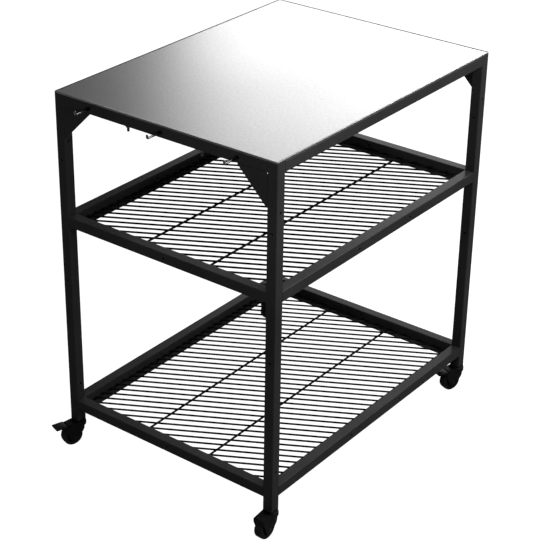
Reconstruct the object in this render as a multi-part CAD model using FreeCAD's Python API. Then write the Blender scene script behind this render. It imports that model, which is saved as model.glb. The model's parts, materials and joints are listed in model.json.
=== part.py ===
import FreeCAD, Part

import math
import os

# Outdoor oven table: stainless worktop, square tube frame, two wire shelves, four swivel casters, two braked.
# Frame: origin on the floor under the middle of the worktop, +X along the long side, +Z up.
# The hooks hang on the short side that faces -X. All sizes are in millimetres.

Vector = FreeCAD.Vector

# Overall
TABLE_LENGTH = 800.0
TABLE_DEPTH = 600.0
TABLE_HEIGHT = 897.0

# Worktop: one stainless sheet with its edges turned down and folded back under
WORKTOP_EDGE = 4.0
WORKTOP_SHEET = 1.2
WORKTOP_RETURN = 22.0
WORKTOP_CORNER = 2.0

# Hat-section stiffeners spot welded under the worktop, in line with its studs
STIFFENER_DROP = 15.0
STIFFENER_CROWN = 30.0
STIFFENER_FLANGE = 12.0
STIFFENER_END_GAP = 1.0

# Studs that hold the worktop to the short top rails
STUD_SPACING = 200.0
STUD_DIAMETER = 6.0
STUD_PAST_RAIL = 16.0
STUD_HOLE_CLEARANCE = 0.3
WASHER_DIAMETER = 12.0
WASHER_THICKNESS = 1.2
NUT_ACROSS_FLATS = 10.0
NUT_HEIGHT = 5.0

# Frame tube
TUBE = 25.0
TUBE_WALL = 1.5
TUBE_CORNER = 2.0
LEG_BOTTOM = 65.0

# Shelves, as heights of the top faces of their rails
MID_SHELF_TOP = 603.0
LOW_SHELF_TOP = 122.0
LEDGE_WIDTH = 20.0
LEDGE_THICKNESS = 2.0

# Holes that join tables and accessories side by side
LINK_HOLE_DIAMETER = 6.5
LEG_HOLES_ACROSS_DEPTH = (784.0, 165.0)
LEG_HOLES_ACROSS_LENGTH = (738.0, 439.0)
LONG_RAIL_HOLE_SPACING = 200.0

# Corner brackets in the planes of the short sides
BRACKET_REACH = 75.0
BRACKET_THICKNESS = 3.0
BRACKET_RELIEF = 3.0
BRACKET_TIP = 1.5

# Hooks
HOOK_SPACING = 200.0
HOOK_COUNT = 3
HOOK_ROD = 5.0
HOOK_REACH = 44.0
HOOK_RISE = 10.5
HOOK_BEND = 4.0
HOOK_COLLAR_DIAMETER = 9.0
HOOK_COLLAR_LENGTH = 9.0
HOOK_SHANK = 12.0
HOOK_HOLE_CLEARANCE = 0.05

# Shelf grids: welded rods, slanting top rods on two support rods and a bent border rod
GRID_SIDE_GAP = 1.0
GRID_BORDER_ROD = 5.0
GRID_BORDER_BEND = 8.0
GRID_SUPPORT_SPACING = 177.0
GRID_TOP_ROD = 4.5
GRID_ROD_PITCH = 25.0
GRID_ROD_ANGLE = 120.0
GRID_SHORTEST_ROD = 30.0

# Leg plugs
PLUG_FLANGE = 3.5
PLUG_DEPTH = 25.0
PLUG_FIT = 0.1
PLUG_EDGE_ROUND = 1.0

# Caster stem, which stays with the leg
STEM_DIAMETER = 10.0
STEM_LENGTH = 20.0
STEM_FIT = 0.05
RACE_DIAMETER = 34.0
RACE_THICKNESS = 3.0
KINGPIN_DIAMETER = 8.0
KINGPIN_HEAD = 14.0
KINGPIN_HEAD_HEIGHT = 2.5
SWIVEL_FIT = 0.05
SWIVEL_END_GAP = 0.3

# Caster wheel
WHEEL_DIAMETER = 50.0
WHEEL_WIDTH = 21.0
TREAD_ROUND = 2.5
TREAD_CROWN = 0.4
HUB_DIAMETER = 35.0
HUB_BOSS_DIAMETER = 14.0
HUB_BOSS_OVERHANG = 2.2
HUB_RECESS = 5.0
HUB_RIM = 2.5
TRAIL = 20.0
AXLE_DIAMETER = 6.0
AXLE_FIT = 0.05
AXLE_HEAD_DIAMETER = 9.0
AXLE_HEAD_HEIGHT = 1.0

# Caster fork: round crown, hood over the wheel and a cheek on each side
FORK_WIDTH = 31.0
FORK_CHEEK = 2.5
FORK_CROWN = 4.5
FORK_CROWN_DIAMETER = 36.0
FORK_CROWN_CHAMFER = 1.0
FORK_CROWN_SKIRT = 8.0
FORK_CROWN_TAPER = 4.0
FORK_FRONT_WALL = 4.5
FORK_FRONT_WALL_DROP = 16.0
FORK_NOSE_ROUND = 2.0
FORK_NOSE_HEIGHT = 9.0
FORK_TOP_REAR = 12.0
FORK_REAR_BACK = 37.0
FORK_REAR_UP = 24.5
FORK_REAR_BOSS = 4.5
FORK_AXLE_BOSS = 11.0
FORK_PLAN_CORNER = 2.5
HOOD_SLOPE_START = 14.0
HOOD_SLOPE = 13.0
HOOD_END_WALL = 3.5
HOOD_END_WALL_BOTTOM = 45.0
HOOD_END_WITH_PEDAL = 33.0

# Brake pedal
PEDAL_PIVOT_BACK = 37.0
PEDAL_PIVOT_UP = 25.5
PEDAL_TRUNNION = 4.0
PEDAL_FIT = 0.05
PEDAL_KNUCKLE = 6.0
PEDAL_SIDE_GAP = 0.3
PEDAL_RISE = 4.5
PEDAL_PLATE_START = 1.0
PEDAL_LENGTH = 28.0
PEDAL_WIDTH = 28.5
PEDAL_THICKNESS = 3.0
PEDAL_LIP = 5.0
PEDAL_THROW = 12.0
PEDAL_CORNER = 2.0
SHOE_WIDTH = 4.0
SHOE_GAP = 0.45

# Swivel angle of each caster as it stands, from +X, and the casters that have a brake
CASTER_ANGLES = {
    "front_left": 178.0,
    "back_left": 161.0,
    "front_right": 160.0,
    "back_right": 168.0,
}
BRAKED_CASTERS = ("back_left", "front_right")

# Sizes that follow from the ones above
FRAME_TOP = TABLE_HEIGHT - WORKTOP_EDGE
TOP_RAIL_BOTTOM = FRAME_TOP - TUBE
LEG_X = (TABLE_LENGTH - TUBE) / 2
LEG_Y = (TABLE_DEPTH - TUBE) / 2
INNER_LENGTH = TABLE_LENGTH - 2 * TUBE
INNER_DEPTH = TABLE_DEPTH - 2 * TUBE
TUBE_INSIDE = TUBE - 2 * TUBE_WALL
WHEEL_RADIUS = WHEEL_DIAMETER / 2
RACE_TOP = LEG_BOTTOM - PLUG_FLANGE
FORK_TOP = RACE_TOP - RACE_THICKNESS - SWIVEL_END_GAP
CROWN_UNDERSIDE = FORK_TOP - FORK_CROWN
FORK_INSIDE = FORK_WIDTH - 2 * FORK_CHEEK

CORNERS = {
    "front_left": (-1, -1),
    "back_left": (-1, 1),
    "front_right": (1, -1),
    "back_right": (1, 1),
}


def save(name, shape):
    """Write one sub-part under its own name."""
    shape.exportStep(os.path.join("parts", name + ".step"))


def rounded_rectangle(width, height, radius):
    """Closed outline in the XY plane, centred on the origin."""
    if radius <= 0:
        half = (width / 2, height / 2)
        points = [Vector(-half[0], -half[1]), Vector(half[0], -half[1]), Vector(half[0], half[1])]
        points.append(Vector(-half[0], half[1]))
        return Part.makePolygon(points + points[:1])
    x = width / 2 - radius
    y = height / 2 - radius
    centres = [(x, -y, -90), (x, y, 0), (-x, y, 90), (-x, -y, 180)]
    edges = []
    previous = None
    first = None
    for cx, cy, start in centres:
        angles = [math.radians(start + turn) for turn in (0, 45, 90)]
        begin, middle, end = [Vector(cx + radius * math.cos(a), cy + radius * math.sin(a)) for a in angles]
        if previous is None:
            first = begin
        elif previous.distanceToPoint(begin) > 1e-6:
            edges.append(Part.LineSegment(previous, begin).toShape())
        edges.append(Part.Arc(begin, middle, end).toShape())
        previous = end
    if previous.distanceToPoint(first) > 1e-6:
        edges.append(Part.LineSegment(previous, first).toShape())
    return Part.Wire(edges)


def prism(outline, height):
    """Solid raised from a closed outline in the XY plane."""
    return Part.Face(outline).extrude(Vector(0, 0, height))


def circle_hull(circles):
    """Closed outline round circles (x, y, radius) listed counter-clockwise, joined by tangents."""
    count = len(circles)
    normals = []
    for index in range(count):
        x0, y0, r0 = circles[index]
        x1, y1, r1 = circles[(index + 1) % count]
        distance = math.hypot(x1 - x0, y1 - y0)
        along = Vector((x1 - x0) / distance, (y1 - y0) / distance)
        outward = Vector(along.y, -along.x)
        share = (r0 - r1) / distance
        normals.append(along * share + outward * math.sqrt(1 - share * share))
    edges = []
    for index in range(count):
        x, y, radius = circles[index]
        centre = Vector(x, y)
        before = normals[index - 1]
        across = Vector(-before.y, before.x)
        after = normals[index]
        turn = math.atan2(before.cross(after).z, before.dot(after)) % (2 * math.pi)
        begin = centre + before * radius
        end = centre + after * radius
        middle = centre + before * (radius * math.cos(turn / 2)) + across * (radius * math.sin(turn / 2))
        edges.append(Part.Arc(begin, middle, end).toShape())
        nx, ny, next_radius = circles[(index + 1) % count]
        edges.append(Part.LineSegment(end, Vector(nx, ny) + after * next_radius).toShape())
    return Part.Wire(edges)


def bar(diameter, start, end):
    """Round bar between two points."""
    span = end - start
    return Part.makeCylinder(diameter / 2, span.Length, start, span)


def square_tube(length):
    """Hollow frame tube along +Z from the origin."""
    outside = prism(rounded_rectangle(TUBE, TUBE, TUBE_CORNER), length)
    inside_corner = max(TUBE_CORNER - TUBE_WALL, 0)
    inside = prism(rounded_rectangle(TUBE_INSIDE, TUBE_INSIDE, inside_corner), length)
    return outside.cut(inside)


def tube_between(start, axis, length):
    """Frame tube from a point along a row axis, +X, +Y or +Z."""
    tube = square_tube(length)
    if axis == "X":
        tube.rotate(Vector(0, 0, 0), Vector(0, 1, 0), 90)
    if axis == "Y":
        tube.rotate(Vector(0, 0, 0), Vector(1, 0, 0), -90)
    tube.translate(start)
    return tube


def through_hole(centre, direction, diameter):
    """Cylinder that cuts right through one tube at a point on its axis."""
    start = centre - direction * TUBE
    return Part.makeCylinder(diameter / 2, 2 * TUBE, start, direction)


def worktop():
    """Sheet pan: top face, turned down edge and a return under the rim."""
    block = prism(rounded_rectangle(TABLE_LENGTH, TABLE_DEPTH, WORKTOP_CORNER), WORKTOP_EDGE)
    fold_corner = max(WORKTOP_CORNER - WORKTOP_SHEET, 0)
    fold_length = TABLE_LENGTH - 2 * WORKTOP_SHEET
    fold_depth = TABLE_DEPTH - 2 * WORKTOP_SHEET
    fold = prism(rounded_rectangle(fold_length, fold_depth, fold_corner), WORKTOP_EDGE - 2 * WORKTOP_SHEET)
    fold.translate(Vector(0, 0, WORKTOP_SHEET))
    opening_length = TABLE_LENGTH - 2 * WORKTOP_RETURN
    opening_depth = TABLE_DEPTH - 2 * WORKTOP_RETURN
    opening = Part.makeBox(opening_length, opening_depth, WORKTOP_EDGE - WORKTOP_SHEET)
    opening.translate(Vector(-opening_length / 2, -opening_depth / 2, 0))
    pan = block.cut(fold).cut(opening)
    pan.translate(Vector(0, 0, FRAME_TOP))
    return pan


def stiffener(side):
    """Hat-section channel along X, its flanges against the underside of the worktop sheet."""
    top = TABLE_HEIGHT - WORKTOP_SHEET
    low = top - STIFFENER_DROP
    outer = STIFFENER_CROWN / 2
    inner = outer - WORKTOP_SHEET
    rim = outer + STIFFENER_FLANGE
    section = [
        (-rim, top), (-inner, top), (-inner, low + WORKTOP_SHEET), (inner, low + WORKTOP_SHEET),
        (inner, top), (rim, top), (rim, top - WORKTOP_SHEET), (outer, top - WORKTOP_SHEET),
        (outer, low), (-outer, low), (-outer, top - WORKTOP_SHEET), (-rim, top - WORKTOP_SHEET),
    ]
    centre = side * STUD_SPACING / 2
    length = INNER_LENGTH - 2 * STIFFENER_END_GAP
    points = [Vector(-length / 2, centre + y, z) for y, z in section]
    return Part.Face(Part.makePolygon(points + points[:1])).extrude(Vector(length, 0, 0))


def stud(x, y):
    """Stud down from the worktop through a short top rail, with its washer and nut."""
    low = TOP_RAIL_BOTTOM - STUD_PAST_RAIL
    rod = bar(STUD_DIAMETER, Vector(x, y, low), Vector(x, y, FRAME_TOP))
    washer_low = TOP_RAIL_BOTTOM - WASHER_THICKNESS
    washer = bar(WASHER_DIAMETER, Vector(x, y, washer_low), Vector(x, y, TOP_RAIL_BOTTOM))
    nut_radius = NUT_ACROSS_FLATS / 2 / math.cos(math.radians(30))
    turns = [math.radians(60 * k) for k in range(6)]
    hexagon = [Vector(x + nut_radius * math.cos(turn), y + nut_radius * math.sin(turn)) for turn in turns]
    nut = prism(Part.makePolygon(hexagon + hexagon[:1]), NUT_HEIGHT)
    nut.translate(Vector(0, 0, washer_low - NUT_HEIGHT))
    return rod.fuse([washer, nut]).removeSplitter()


def top_rail(name):
    """Top rail between two legs; the short ones take the studs, and the left one the hooks."""
    z = TOP_RAIL_BOTTOM + TUBE / 2
    if name in ("front", "back"):
        y = LEG_Y if name == "back" else -LEG_Y
        return tube_between(Vector(-INNER_LENGTH / 2, y, z), "X", INNER_LENGTH)
    x = LEG_X if name == "right" else -LEG_X
    rail = tube_between(Vector(x, -INNER_DEPTH / 2, z), "Y", INNER_DEPTH)
    stud_hole = STUD_DIAMETER + 2 * STUD_HOLE_CLEARANCE
    places = [Vector(x, side * STUD_SPACING / 2, z) for side in (-1, 1)]
    rail = rail.cut([through_hole(place, Vector(0, 0, 1), stud_hole) for place in places])
    if name == "left":
        shank_hole = HOOK_ROD + 2 * HOOK_HOLE_CLEARANCE
        outside = x - TUBE / 2
        cuts = [
            bar(shank_hole, Vector(outside - TUBE_WALL, y, z), Vector(outside + TUBE / 2, y, z))
            for y in hook_places()
        ]
        rail = rail.cut(cuts)
    return rail


def shelf_rail(name, top):
    """Shelf rail with the flat ledge that is welded along the foot of its inner face."""
    bottom = top - TUBE
    z = bottom + TUBE / 2
    if name in ("front", "back"):
        side = 1 if name == "back" else -1
        rail = tube_between(Vector(-INNER_LENGTH / 2, side * LEG_Y, z), "X", INNER_LENGTH)
        ledge = Part.makeBox(INNER_LENGTH, LEDGE_WIDTH + TUBE_CORNER, LEDGE_THICKNESS)
        ledge_y = INNER_DEPTH / 2 - LEDGE_WIDTH if side > 0 else -INNER_DEPTH / 2 - TUBE_CORNER
        ledge.translate(Vector(-INNER_LENGTH / 2, ledge_y, bottom))
        cores = [tube_core(Vector(-INNER_LENGTH / 2, side * LEG_Y, z), "X", INNER_LENGTH)]
        places = [Vector(sign * LONG_RAIL_HOLE_SPACING / 2, side * LEG_Y, z) for sign in (-1, 1)]
        holes = [through_hole(place, Vector(0, 1, 0), LINK_HOLE_DIAMETER) for place in places]
    else:
        side = 1 if name == "right" else -1
        rail = tube_between(Vector(side * LEG_X, -INNER_DEPTH / 2, z), "Y", INNER_DEPTH)
        ledge_length = INNER_DEPTH - 2 * LEDGE_WIDTH
        ledge = Part.makeBox(LEDGE_WIDTH + TUBE_CORNER, ledge_length, LEDGE_THICKNESS)
        ledge_x = INNER_LENGTH / 2 - LEDGE_WIDTH if side > 0 else -INNER_LENGTH / 2 - TUBE_CORNER
        ledge.translate(Vector(ledge_x, -ledge_length / 2, bottom))
        cores = [tube_core(Vector(side * LEG_X, -INNER_DEPTH / 2, z), "Y", INNER_DEPTH)]
        holes = [through_hole(Vector(side * LEG_X, 0, z), Vector(1, 0, 0), LINK_HOLE_DIAMETER)]
    return rail.fuse(ledge).cut(cores + holes).removeSplitter()


def tube_core(start, axis, length):
    """The space inside a frame tube."""
    inside_corner = max(TUBE_CORNER - TUBE_WALL, 0)
    core = prism(rounded_rectangle(TUBE_INSIDE, TUBE_INSIDE, inside_corner), length)
    if axis == "X":
        core.rotate(Vector(0, 0, 0), Vector(0, 1, 0), 90)
    if axis == "Y":
        core.rotate(Vector(0, 0, 0), Vector(1, 0, 0), -90)
    core.translate(start)
    return core


def leg(sign_x, sign_y):
    """Leg tube with its link holes in both directions."""
    x = sign_x * LEG_X
    y = sign_y * LEG_Y
    tube = tube_between(Vector(x, y, LEG_BOTTOM), "Z", FRAME_TOP - LEG_BOTTOM)
    places = [(z, Vector(0, 1, 0)) for z in LEG_HOLES_ACROSS_DEPTH]
    places += [(z, Vector(1, 0, 0)) for z in LEG_HOLES_ACROSS_LENGTH]
    return tube.cut([through_hole(Vector(x, y, z), direction, LINK_HOLE_DIAMETER) for z, direction in places])


def bracket(sign_x, sign_y):
    """Flat gusset flush with the short side, under the top rail and against the leg."""
    inner = INNER_DEPTH / 2
    top = TOP_RAIL_BOTTOM
    reach = BRACKET_REACH
    tip = BRACKET_TIP
    outline = [
        (inner, top), (inner - reach, top), (inner - reach, top - tip),
        (inner - tip, top - reach), (inner, top - reach),
    ]
    face_x = sign_x * TABLE_LENGTH / 2
    points = [Vector(face_x, sign_y * y, z) for y, z in outline]
    face = Part.Face(Part.makePolygon(points + points[:1]))
    plate = face.extrude(Vector(-sign_x * BRACKET_THICKNESS, 0, 0))
    relief_start = Vector(face_x - sign_x * BRACKET_THICKNESS * 2, sign_y * inner, top)
    relief = Part.makeCylinder(BRACKET_RELIEF, BRACKET_THICKNESS * 3, relief_start, Vector(sign_x, 0, 0))
    return plate.cut(relief)


def hook_places():
    """Y positions of the hooks."""
    first = -HOOK_SPACING * (HOOK_COUNT - 1) / 2
    return [first + HOOK_SPACING * k for k in range(HOOK_COUNT)]


def hook(y):
    """Peg screwed into the left top rail: shank, collar, rod and upturned tip."""
    z = TOP_RAIL_BOTTOM + TUBE / 2
    face = -TABLE_LENGTH / 2
    radius = HOOK_ROD / 2
    tip_x = face - HOOK_REACH + radius
    start = Vector(face + HOOK_SHANK, y, z)
    bend_start = Vector(tip_x + HOOK_BEND, y, z)
    turn = HOOK_BEND * math.sin(math.radians(45))
    bend_middle = Vector(tip_x + HOOK_BEND - turn, y, z + HOOK_BEND - turn)
    bend_end = Vector(tip_x, y, z + HOOK_BEND)
    tip = Vector(tip_x, y, z - radius + HOOK_RISE)
    path = Part.Wire([
        Part.LineSegment(start, bend_start).toShape(),
        Part.Arc(bend_start, bend_middle, bend_end).toShape(),
        Part.LineSegment(bend_end, tip).toShape(),
    ])
    section = Part.Wire(Part.makeCircle(radius, start, Vector(-1, 0, 0)))
    rod = path.makePipeShell([section], True, False)
    collar = bar(HOOK_COLLAR_DIAMETER, Vector(face - HOOK_COLLAR_LENGTH, y, z), Vector(face, y, z))
    return rod.fuse(collar)


def slanted_rods(length, depth, z):
    """Top rods of a grid, clipped to a centre line rectangle, with a gap over the middle."""
    angle = math.radians(GRID_ROD_ANGLE)
    along = Vector(math.cos(angle), math.sin(angle))
    across = Vector(along.y, -along.x)
    pitch = GRID_ROD_PITCH * abs(across.x)
    half_x = length / 2
    half_y = depth / 2
    reach = half_x * abs(across.x) + half_y * abs(across.y)
    count = int(reach / pitch) + 1
    rods = []
    for k in range(-count, count):
        foot = across * ((k + 0.5) * pitch)
        spans = []
        for place, step, half in ((foot.x, along.x, half_x), (foot.y, along.y, half_y)):
            spans.append(sorted(((-half - place) / step, (half - place) / step)))
        low = max(spans[0][0], spans[1][0])
        high = min(spans[0][1], spans[1][1])
        if high - low < GRID_SHORTEST_ROD:
            continue
        start = foot + along * low + Vector(0, 0, z)
        end = foot + along * high + Vector(0, 0, z)
        rods.append(bar(GRID_TOP_ROD, start, end))
    return rods


def border_rod(length, depth, z):
    """Closed rod bent round a rectangle, given by its centre line."""
    path = rounded_rectangle(length, depth, GRID_BORDER_BEND)
    path.translate(Vector(0, 0, z))
    edge = path.Edges[0]
    start = edge.valueAt(edge.FirstParameter)
    direction = edge.tangentAt(edge.FirstParameter)
    section = Part.Wire(Part.makeCircle(GRID_BORDER_ROD / 2, start, direction))
    return path.makePipeShell([section], True, False)


def shelf_grid(rail_top):
    """Welded rod panel that lies on the ledges of one shelf."""
    ledge_top = rail_top - TUBE + LEDGE_THICKNESS
    low_z = ledge_top + GRID_BORDER_ROD / 2
    top_z = ledge_top + GRID_BORDER_ROD + GRID_TOP_ROD / 2
    length = INNER_LENGTH - 2 * GRID_SIDE_GAP - GRID_BORDER_ROD
    depth = INNER_DEPTH - 2 * GRID_SIDE_GAP - GRID_BORDER_ROD
    pieces = [border_rod(length, depth, low_z)]
    end = length / 2 - GRID_BORDER_ROD / 2
    for side in (-1, 1):
        y = side * GRID_SUPPORT_SPACING / 2
        pieces.append(bar(GRID_BORDER_ROD, Vector(-end, y, low_z), Vector(end, y, low_z)))
    pieces += slanted_rods(length, depth, top_z)
    return Part.makeCompound(pieces)


def leg_plug():
    """Moulded insert: a square flange under the leg end and a block inside the tube."""
    flange = prism(rounded_rectangle(TUBE, TUBE, TUBE_CORNER), PLUG_FLANGE)
    flange = flange.makeFillet(PLUG_EDGE_ROUND, [
        edge for edge in flange.Edges
        if abs(edge.BoundBox.ZMax) < 1e-6 and abs(edge.BoundBox.ZMin) < 1e-6
    ])
    inside = TUBE_INSIDE - 2 * PLUG_FIT
    block = prism(rounded_rectangle(inside, inside, TUBE_CORNER), PLUG_DEPTH)
    block.translate(Vector(0, 0, PLUG_FLANGE))
    bore_depth = STEM_LENGTH + STEM_FIT
    bore = Part.makeCylinder(STEM_DIAMETER / 2 + STEM_FIT, bore_depth)
    plug = flange.fuse(block).cut(bore)
    plug.translate(Vector(0, 0, LEG_BOTTOM - PLUG_FLANGE))
    return plug


def caster_stem():
    """Screw stem, upper race and headed kingpin, which hold the fork to the leg."""
    profile = [
        (0, RACE_TOP + STEM_LENGTH),
        (STEM_DIAMETER / 2, RACE_TOP + STEM_LENGTH),
        (STEM_DIAMETER / 2, RACE_TOP),
        (RACE_DIAMETER / 2, RACE_TOP),
        (RACE_DIAMETER / 2, RACE_TOP - RACE_THICKNESS),
        (KINGPIN_DIAMETER / 2, RACE_TOP - RACE_THICKNESS),
        (KINGPIN_DIAMETER / 2, CROWN_UNDERSIDE - SWIVEL_END_GAP),
        (KINGPIN_HEAD / 2, CROWN_UNDERSIDE - SWIVEL_END_GAP),
        (KINGPIN_HEAD / 2, CROWN_UNDERSIDE - SWIVEL_END_GAP - KINGPIN_HEAD_HEIGHT),
        (0, CROWN_UNDERSIDE - SWIVEL_END_GAP - KINGPIN_HEAD_HEIGHT),
    ]
    points = [Vector(r, 0, z) for r, z in profile]
    face = Part.Face(Part.makePolygon(points + points[:1]))
    return face.revolve(Vector(0, 0, 0), Vector(0, 0, 1), 360)


def side_prism(outline, width):
    """Solid from an outline in the fork's side view (back, up), centred across the wheel."""
    solid = prism(outline, width)
    solid.translate(Vector(0, 0, -width / 2))
    solid.rotate(Vector(0, 0, 0), Vector(1, 0, 0), 90)
    return solid


def cross_bar(diameter, back, up, width):
    """Round bar across the fork at a point of its side view."""
    return bar(diameter, Vector(back, -width / 2, up), Vector(back, width / 2, up))


def fork_crown():
    """Round head of the fork, tapering down to the width of the cheeks."""
    radius = FORK_CROWN_DIAMETER / 2
    skirt = FORK_TOP - FORK_CROWN_SKIRT
    low = skirt - FORK_CROWN_TAPER
    profile = [
        (0, FORK_TOP),
        (radius - FORK_CROWN_CHAMFER, FORK_TOP),
        (radius, FORK_TOP - FORK_CROWN_CHAMFER),
        (radius, skirt),
        (FORK_WIDTH / 2, low),
        (0, low),
    ]
    points = [Vector(r, 0, z) for r, z in profile]
    face = Part.Face(Part.makePolygon(points + points[:1]))
    return face.revolve(Vector(0, 0, 0), Vector(0, 0, 1), 360)


def wheel_space(braked, rear):
    """Space between the cheeks, under the crown and the hood."""
    front = FORK_FRONT_WALL - FORK_CROWN_DIAMETER / 2
    hood_end = HOOD_END_WITH_PEDAL if braked else rear - HOOD_END_WALL
    hood_end_z = CROWN_UNDERSIDE - (hood_end - HOOD_SLOPE_START) * math.tan(math.radians(HOOD_SLOPE))
    mouth_z = FORK_TOP if braked else HOOD_END_WALL_BOTTOM
    outline = [
        (-FORK_CROWN_DIAMETER, 0), (2 * rear, 0), (2 * rear, mouth_z), (hood_end, mouth_z),
        (hood_end, hood_end_z), (HOOD_SLOPE_START, CROWN_UNDERSIDE), (front, CROWN_UNDERSIDE),
        (front, FORK_TOP - FORK_FRONT_WALL_DROP), (-FORK_CROWN_DIAMETER, FORK_TOP - FORK_FRONT_WALL_DROP),
    ]
    points = [Vector(back, up) for back, up in outline]
    return side_prism(Part.makePolygon(points + points[:1]), FORK_INSIDE)


def caster_fork(braked):
    """Moulded fork; with a brake its hood stops short of the pedal and the cheeks are bored for it."""
    half = FORK_WIDTH / 2
    nose = FORK_NOSE_ROUND
    axle_z = WHEEL_RADIUS
    outline = circle_hull([
        (TRAIL, axle_z, FORK_AXLE_BOSS),
        (FORK_REAR_BACK, axle_z + FORK_REAR_UP, FORK_REAR_BOSS),
        (FORK_TOP_REAR, FORK_TOP - nose, nose),
        (nose - half, FORK_TOP - nose, nose),
        (nose - half, FORK_TOP - FORK_NOSE_HEIGHT, nose),
    ])
    rear = FORK_REAR_BACK + FORK_REAR_BOSS
    corner = FORK_PLAN_CORNER
    plan = circle_hull([
        (0, 0, half),
        (rear - corner, corner - half, corner),
        (rear - corner, half - corner, corner),
    ])
    block = side_prism(outline, FORK_WIDTH).common(prism(plan, TABLE_HEIGHT)).fuse(fork_crown())
    cuts = [
        wheel_space(braked, rear),
        Part.makeCylinder(KINGPIN_DIAMETER / 2 + SWIVEL_FIT, TABLE_HEIGHT),
        cross_bar(AXLE_DIAMETER + 2 * AXLE_FIT, TRAIL, axle_z, 2 * FORK_WIDTH),
    ]
    if braked:
        pivot_z = axle_z + PEDAL_PIVOT_UP
        cuts.append(cross_bar(PEDAL_TRUNNION + 2 * PEDAL_FIT, PEDAL_PIVOT_BACK, pivot_z, 2 * FORK_WIDTH))
    return block.cut(cuts)


def caster_axle():
    """Axle pin with a flat head on each side."""
    pieces = [cross_bar(AXLE_DIAMETER, TRAIL, WHEEL_RADIUS, FORK_WIDTH)]
    for side in (-1, 1):
        inner = Vector(TRAIL, side * FORK_WIDTH / 2, WHEEL_RADIUS)
        outer = Vector(TRAIL, side * (FORK_WIDTH / 2 + AXLE_HEAD_HEIGHT), WHEEL_RADIUS)
        pieces.append(bar(AXLE_HEAD_DIAMETER, inner, outer))
    return pieces[0].fuse(pieces[1:]).removeSplitter()


def wheel_ring(profile):
    """Ring turned about the axle from (radius, across) edges built in the XY plane."""
    ring = Part.Face(profile).revolve(Vector(0, 0, 0), Vector(0, 1, 0), 360)
    ring.translate(Vector(TRAIL, 0, WHEEL_RADIUS))
    return ring


def caster_tyre():
    """Tyre with rounded shoulders and a slightly crowned tread."""
    half = WHEEL_WIDTH / 2
    shoulder = WHEEL_RADIUS - TREAD_CROWN
    round_in = TREAD_ROUND * (1 - math.sin(math.radians(45)))
    edges = []
    corners = []
    for side in (-1, 1):
        flat = Vector(shoulder - TREAD_ROUND, side * half)
        middle = Vector(shoulder - round_in, side * (half - round_in))
        tread = Vector(shoulder, side * (half - TREAD_ROUND))
        edges.append(Part.Arc(flat, middle, tread).toShape())
        corners.append((flat, tread))
    edges.append(Part.Arc(corners[0][1], Vector(WHEEL_RADIUS, 0), corners[1][1]).toShape())
    bore = [Vector(HUB_DIAMETER / 2, side * half) for side in (-1, 1)]
    edges.append(Part.LineSegment(bore[0], bore[1]).toShape())
    edges.append(Part.LineSegment(bore[0], corners[0][0]).toShape())
    edges.append(Part.LineSegment(bore[1], corners[1][0]).toShape())
    return wheel_ring(Part.Wire(Part.sortEdges(edges)[0]))


def caster_hub():
    """Hub with a recessed web on both sides and a boss that keeps the cheeks clear."""
    half = WHEEL_WIDTH / 2
    web = half - HUB_RECESS
    boss = half + HUB_BOSS_OVERHANG
    rim = HUB_DIAMETER / 2 - HUB_RIM
    outer = HUB_DIAMETER / 2
    bore = AXLE_DIAMETER / 2 + AXLE_FIT
    side = [
        (bore, boss), (HUB_BOSS_DIAMETER / 2, boss), (HUB_BOSS_DIAMETER / 2, web),
        (rim, web), (rim, half), (outer, half),
    ]
    profile = side + [(r, -y) for r, y in reversed(side)]
    points = [Vector(r, y) for r, y in profile]
    return wheel_ring(Part.makePolygon(points + points[:1]))


def brake_pedal():
    """Foot lever with stub trunnions in the cheeks and a shoe that comes down on the tyre."""
    pivot = Vector(PEDAL_PIVOT_BACK, 0, WHEEL_RADIUS + PEDAL_PIVOT_UP)
    inside = FORK_INSIDE - 2 * PEDAL_SIDE_GAP
    knuckle = cross_bar(PEDAL_KNUCKLE, 0, 0, inside)
    trunnion = cross_bar(PEDAL_TRUNNION, 0, 0, FORK_WIDTH)
    neck = Part.makeBox(PEDAL_KNUCKLE, inside, PEDAL_RISE)
    neck.translate(Vector(-PEDAL_KNUCKLE / 2, -inside / 2, 0))
    plate_length = PEDAL_LENGTH + PEDAL_PLATE_START
    plate = prism(rounded_rectangle(plate_length, PEDAL_WIDTH, PEDAL_CORNER), PEDAL_THICKNESS)
    plate.translate(Vector(PEDAL_LENGTH - plate_length / 2, 0, PEDAL_RISE))
    lip_z = PEDAL_RISE + PEDAL_THICKNESS - PEDAL_LIP / 2
    lip = cross_bar(PEDAL_LIP, PEDAL_LENGTH - PEDAL_LIP / 2, lip_z, PEDAL_WIDTH - 2 * PEDAL_CORNER)
    to_wheel = Vector(TRAIL - PEDAL_PIVOT_BACK, 0, -PEDAL_PIVOT_UP)
    shoe_reach = to_wheel.Length - WHEEL_RADIUS - SHOE_GAP
    shoe = Part.makeBox(SHOE_WIDTH, WHEEL_WIDTH - 2 * TREAD_ROUND, shoe_reach)
    shoe.translate(Vector(-SHOE_WIDTH / 2, -WHEEL_WIDTH / 2 + TREAD_ROUND, -shoe_reach))
    lean = math.degrees(math.atan2(-to_wheel.x, -to_wheel.z))
    shoe.rotate(Vector(0, 0, 0), Vector(0, 1, 0), lean - PEDAL_THROW)
    pedal = knuckle.fuse([trunnion, neck, plate, lip, shoe]).removeSplitter()
    pedal.translate(pivot)
    return pedal


def place_caster(shape, corner):
    """Turn a caster piece to its resting swivel angle and set it under its leg."""
    sign_x, sign_y = CORNERS[corner]
    placed = shape.copy()
    placed.rotate(Vector(0, 0, 0), Vector(0, 0, 1), CASTER_ANGLES[corner])
    placed.translate(Vector(sign_x * LEG_X, sign_y * LEG_Y, 0))
    return placed


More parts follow.
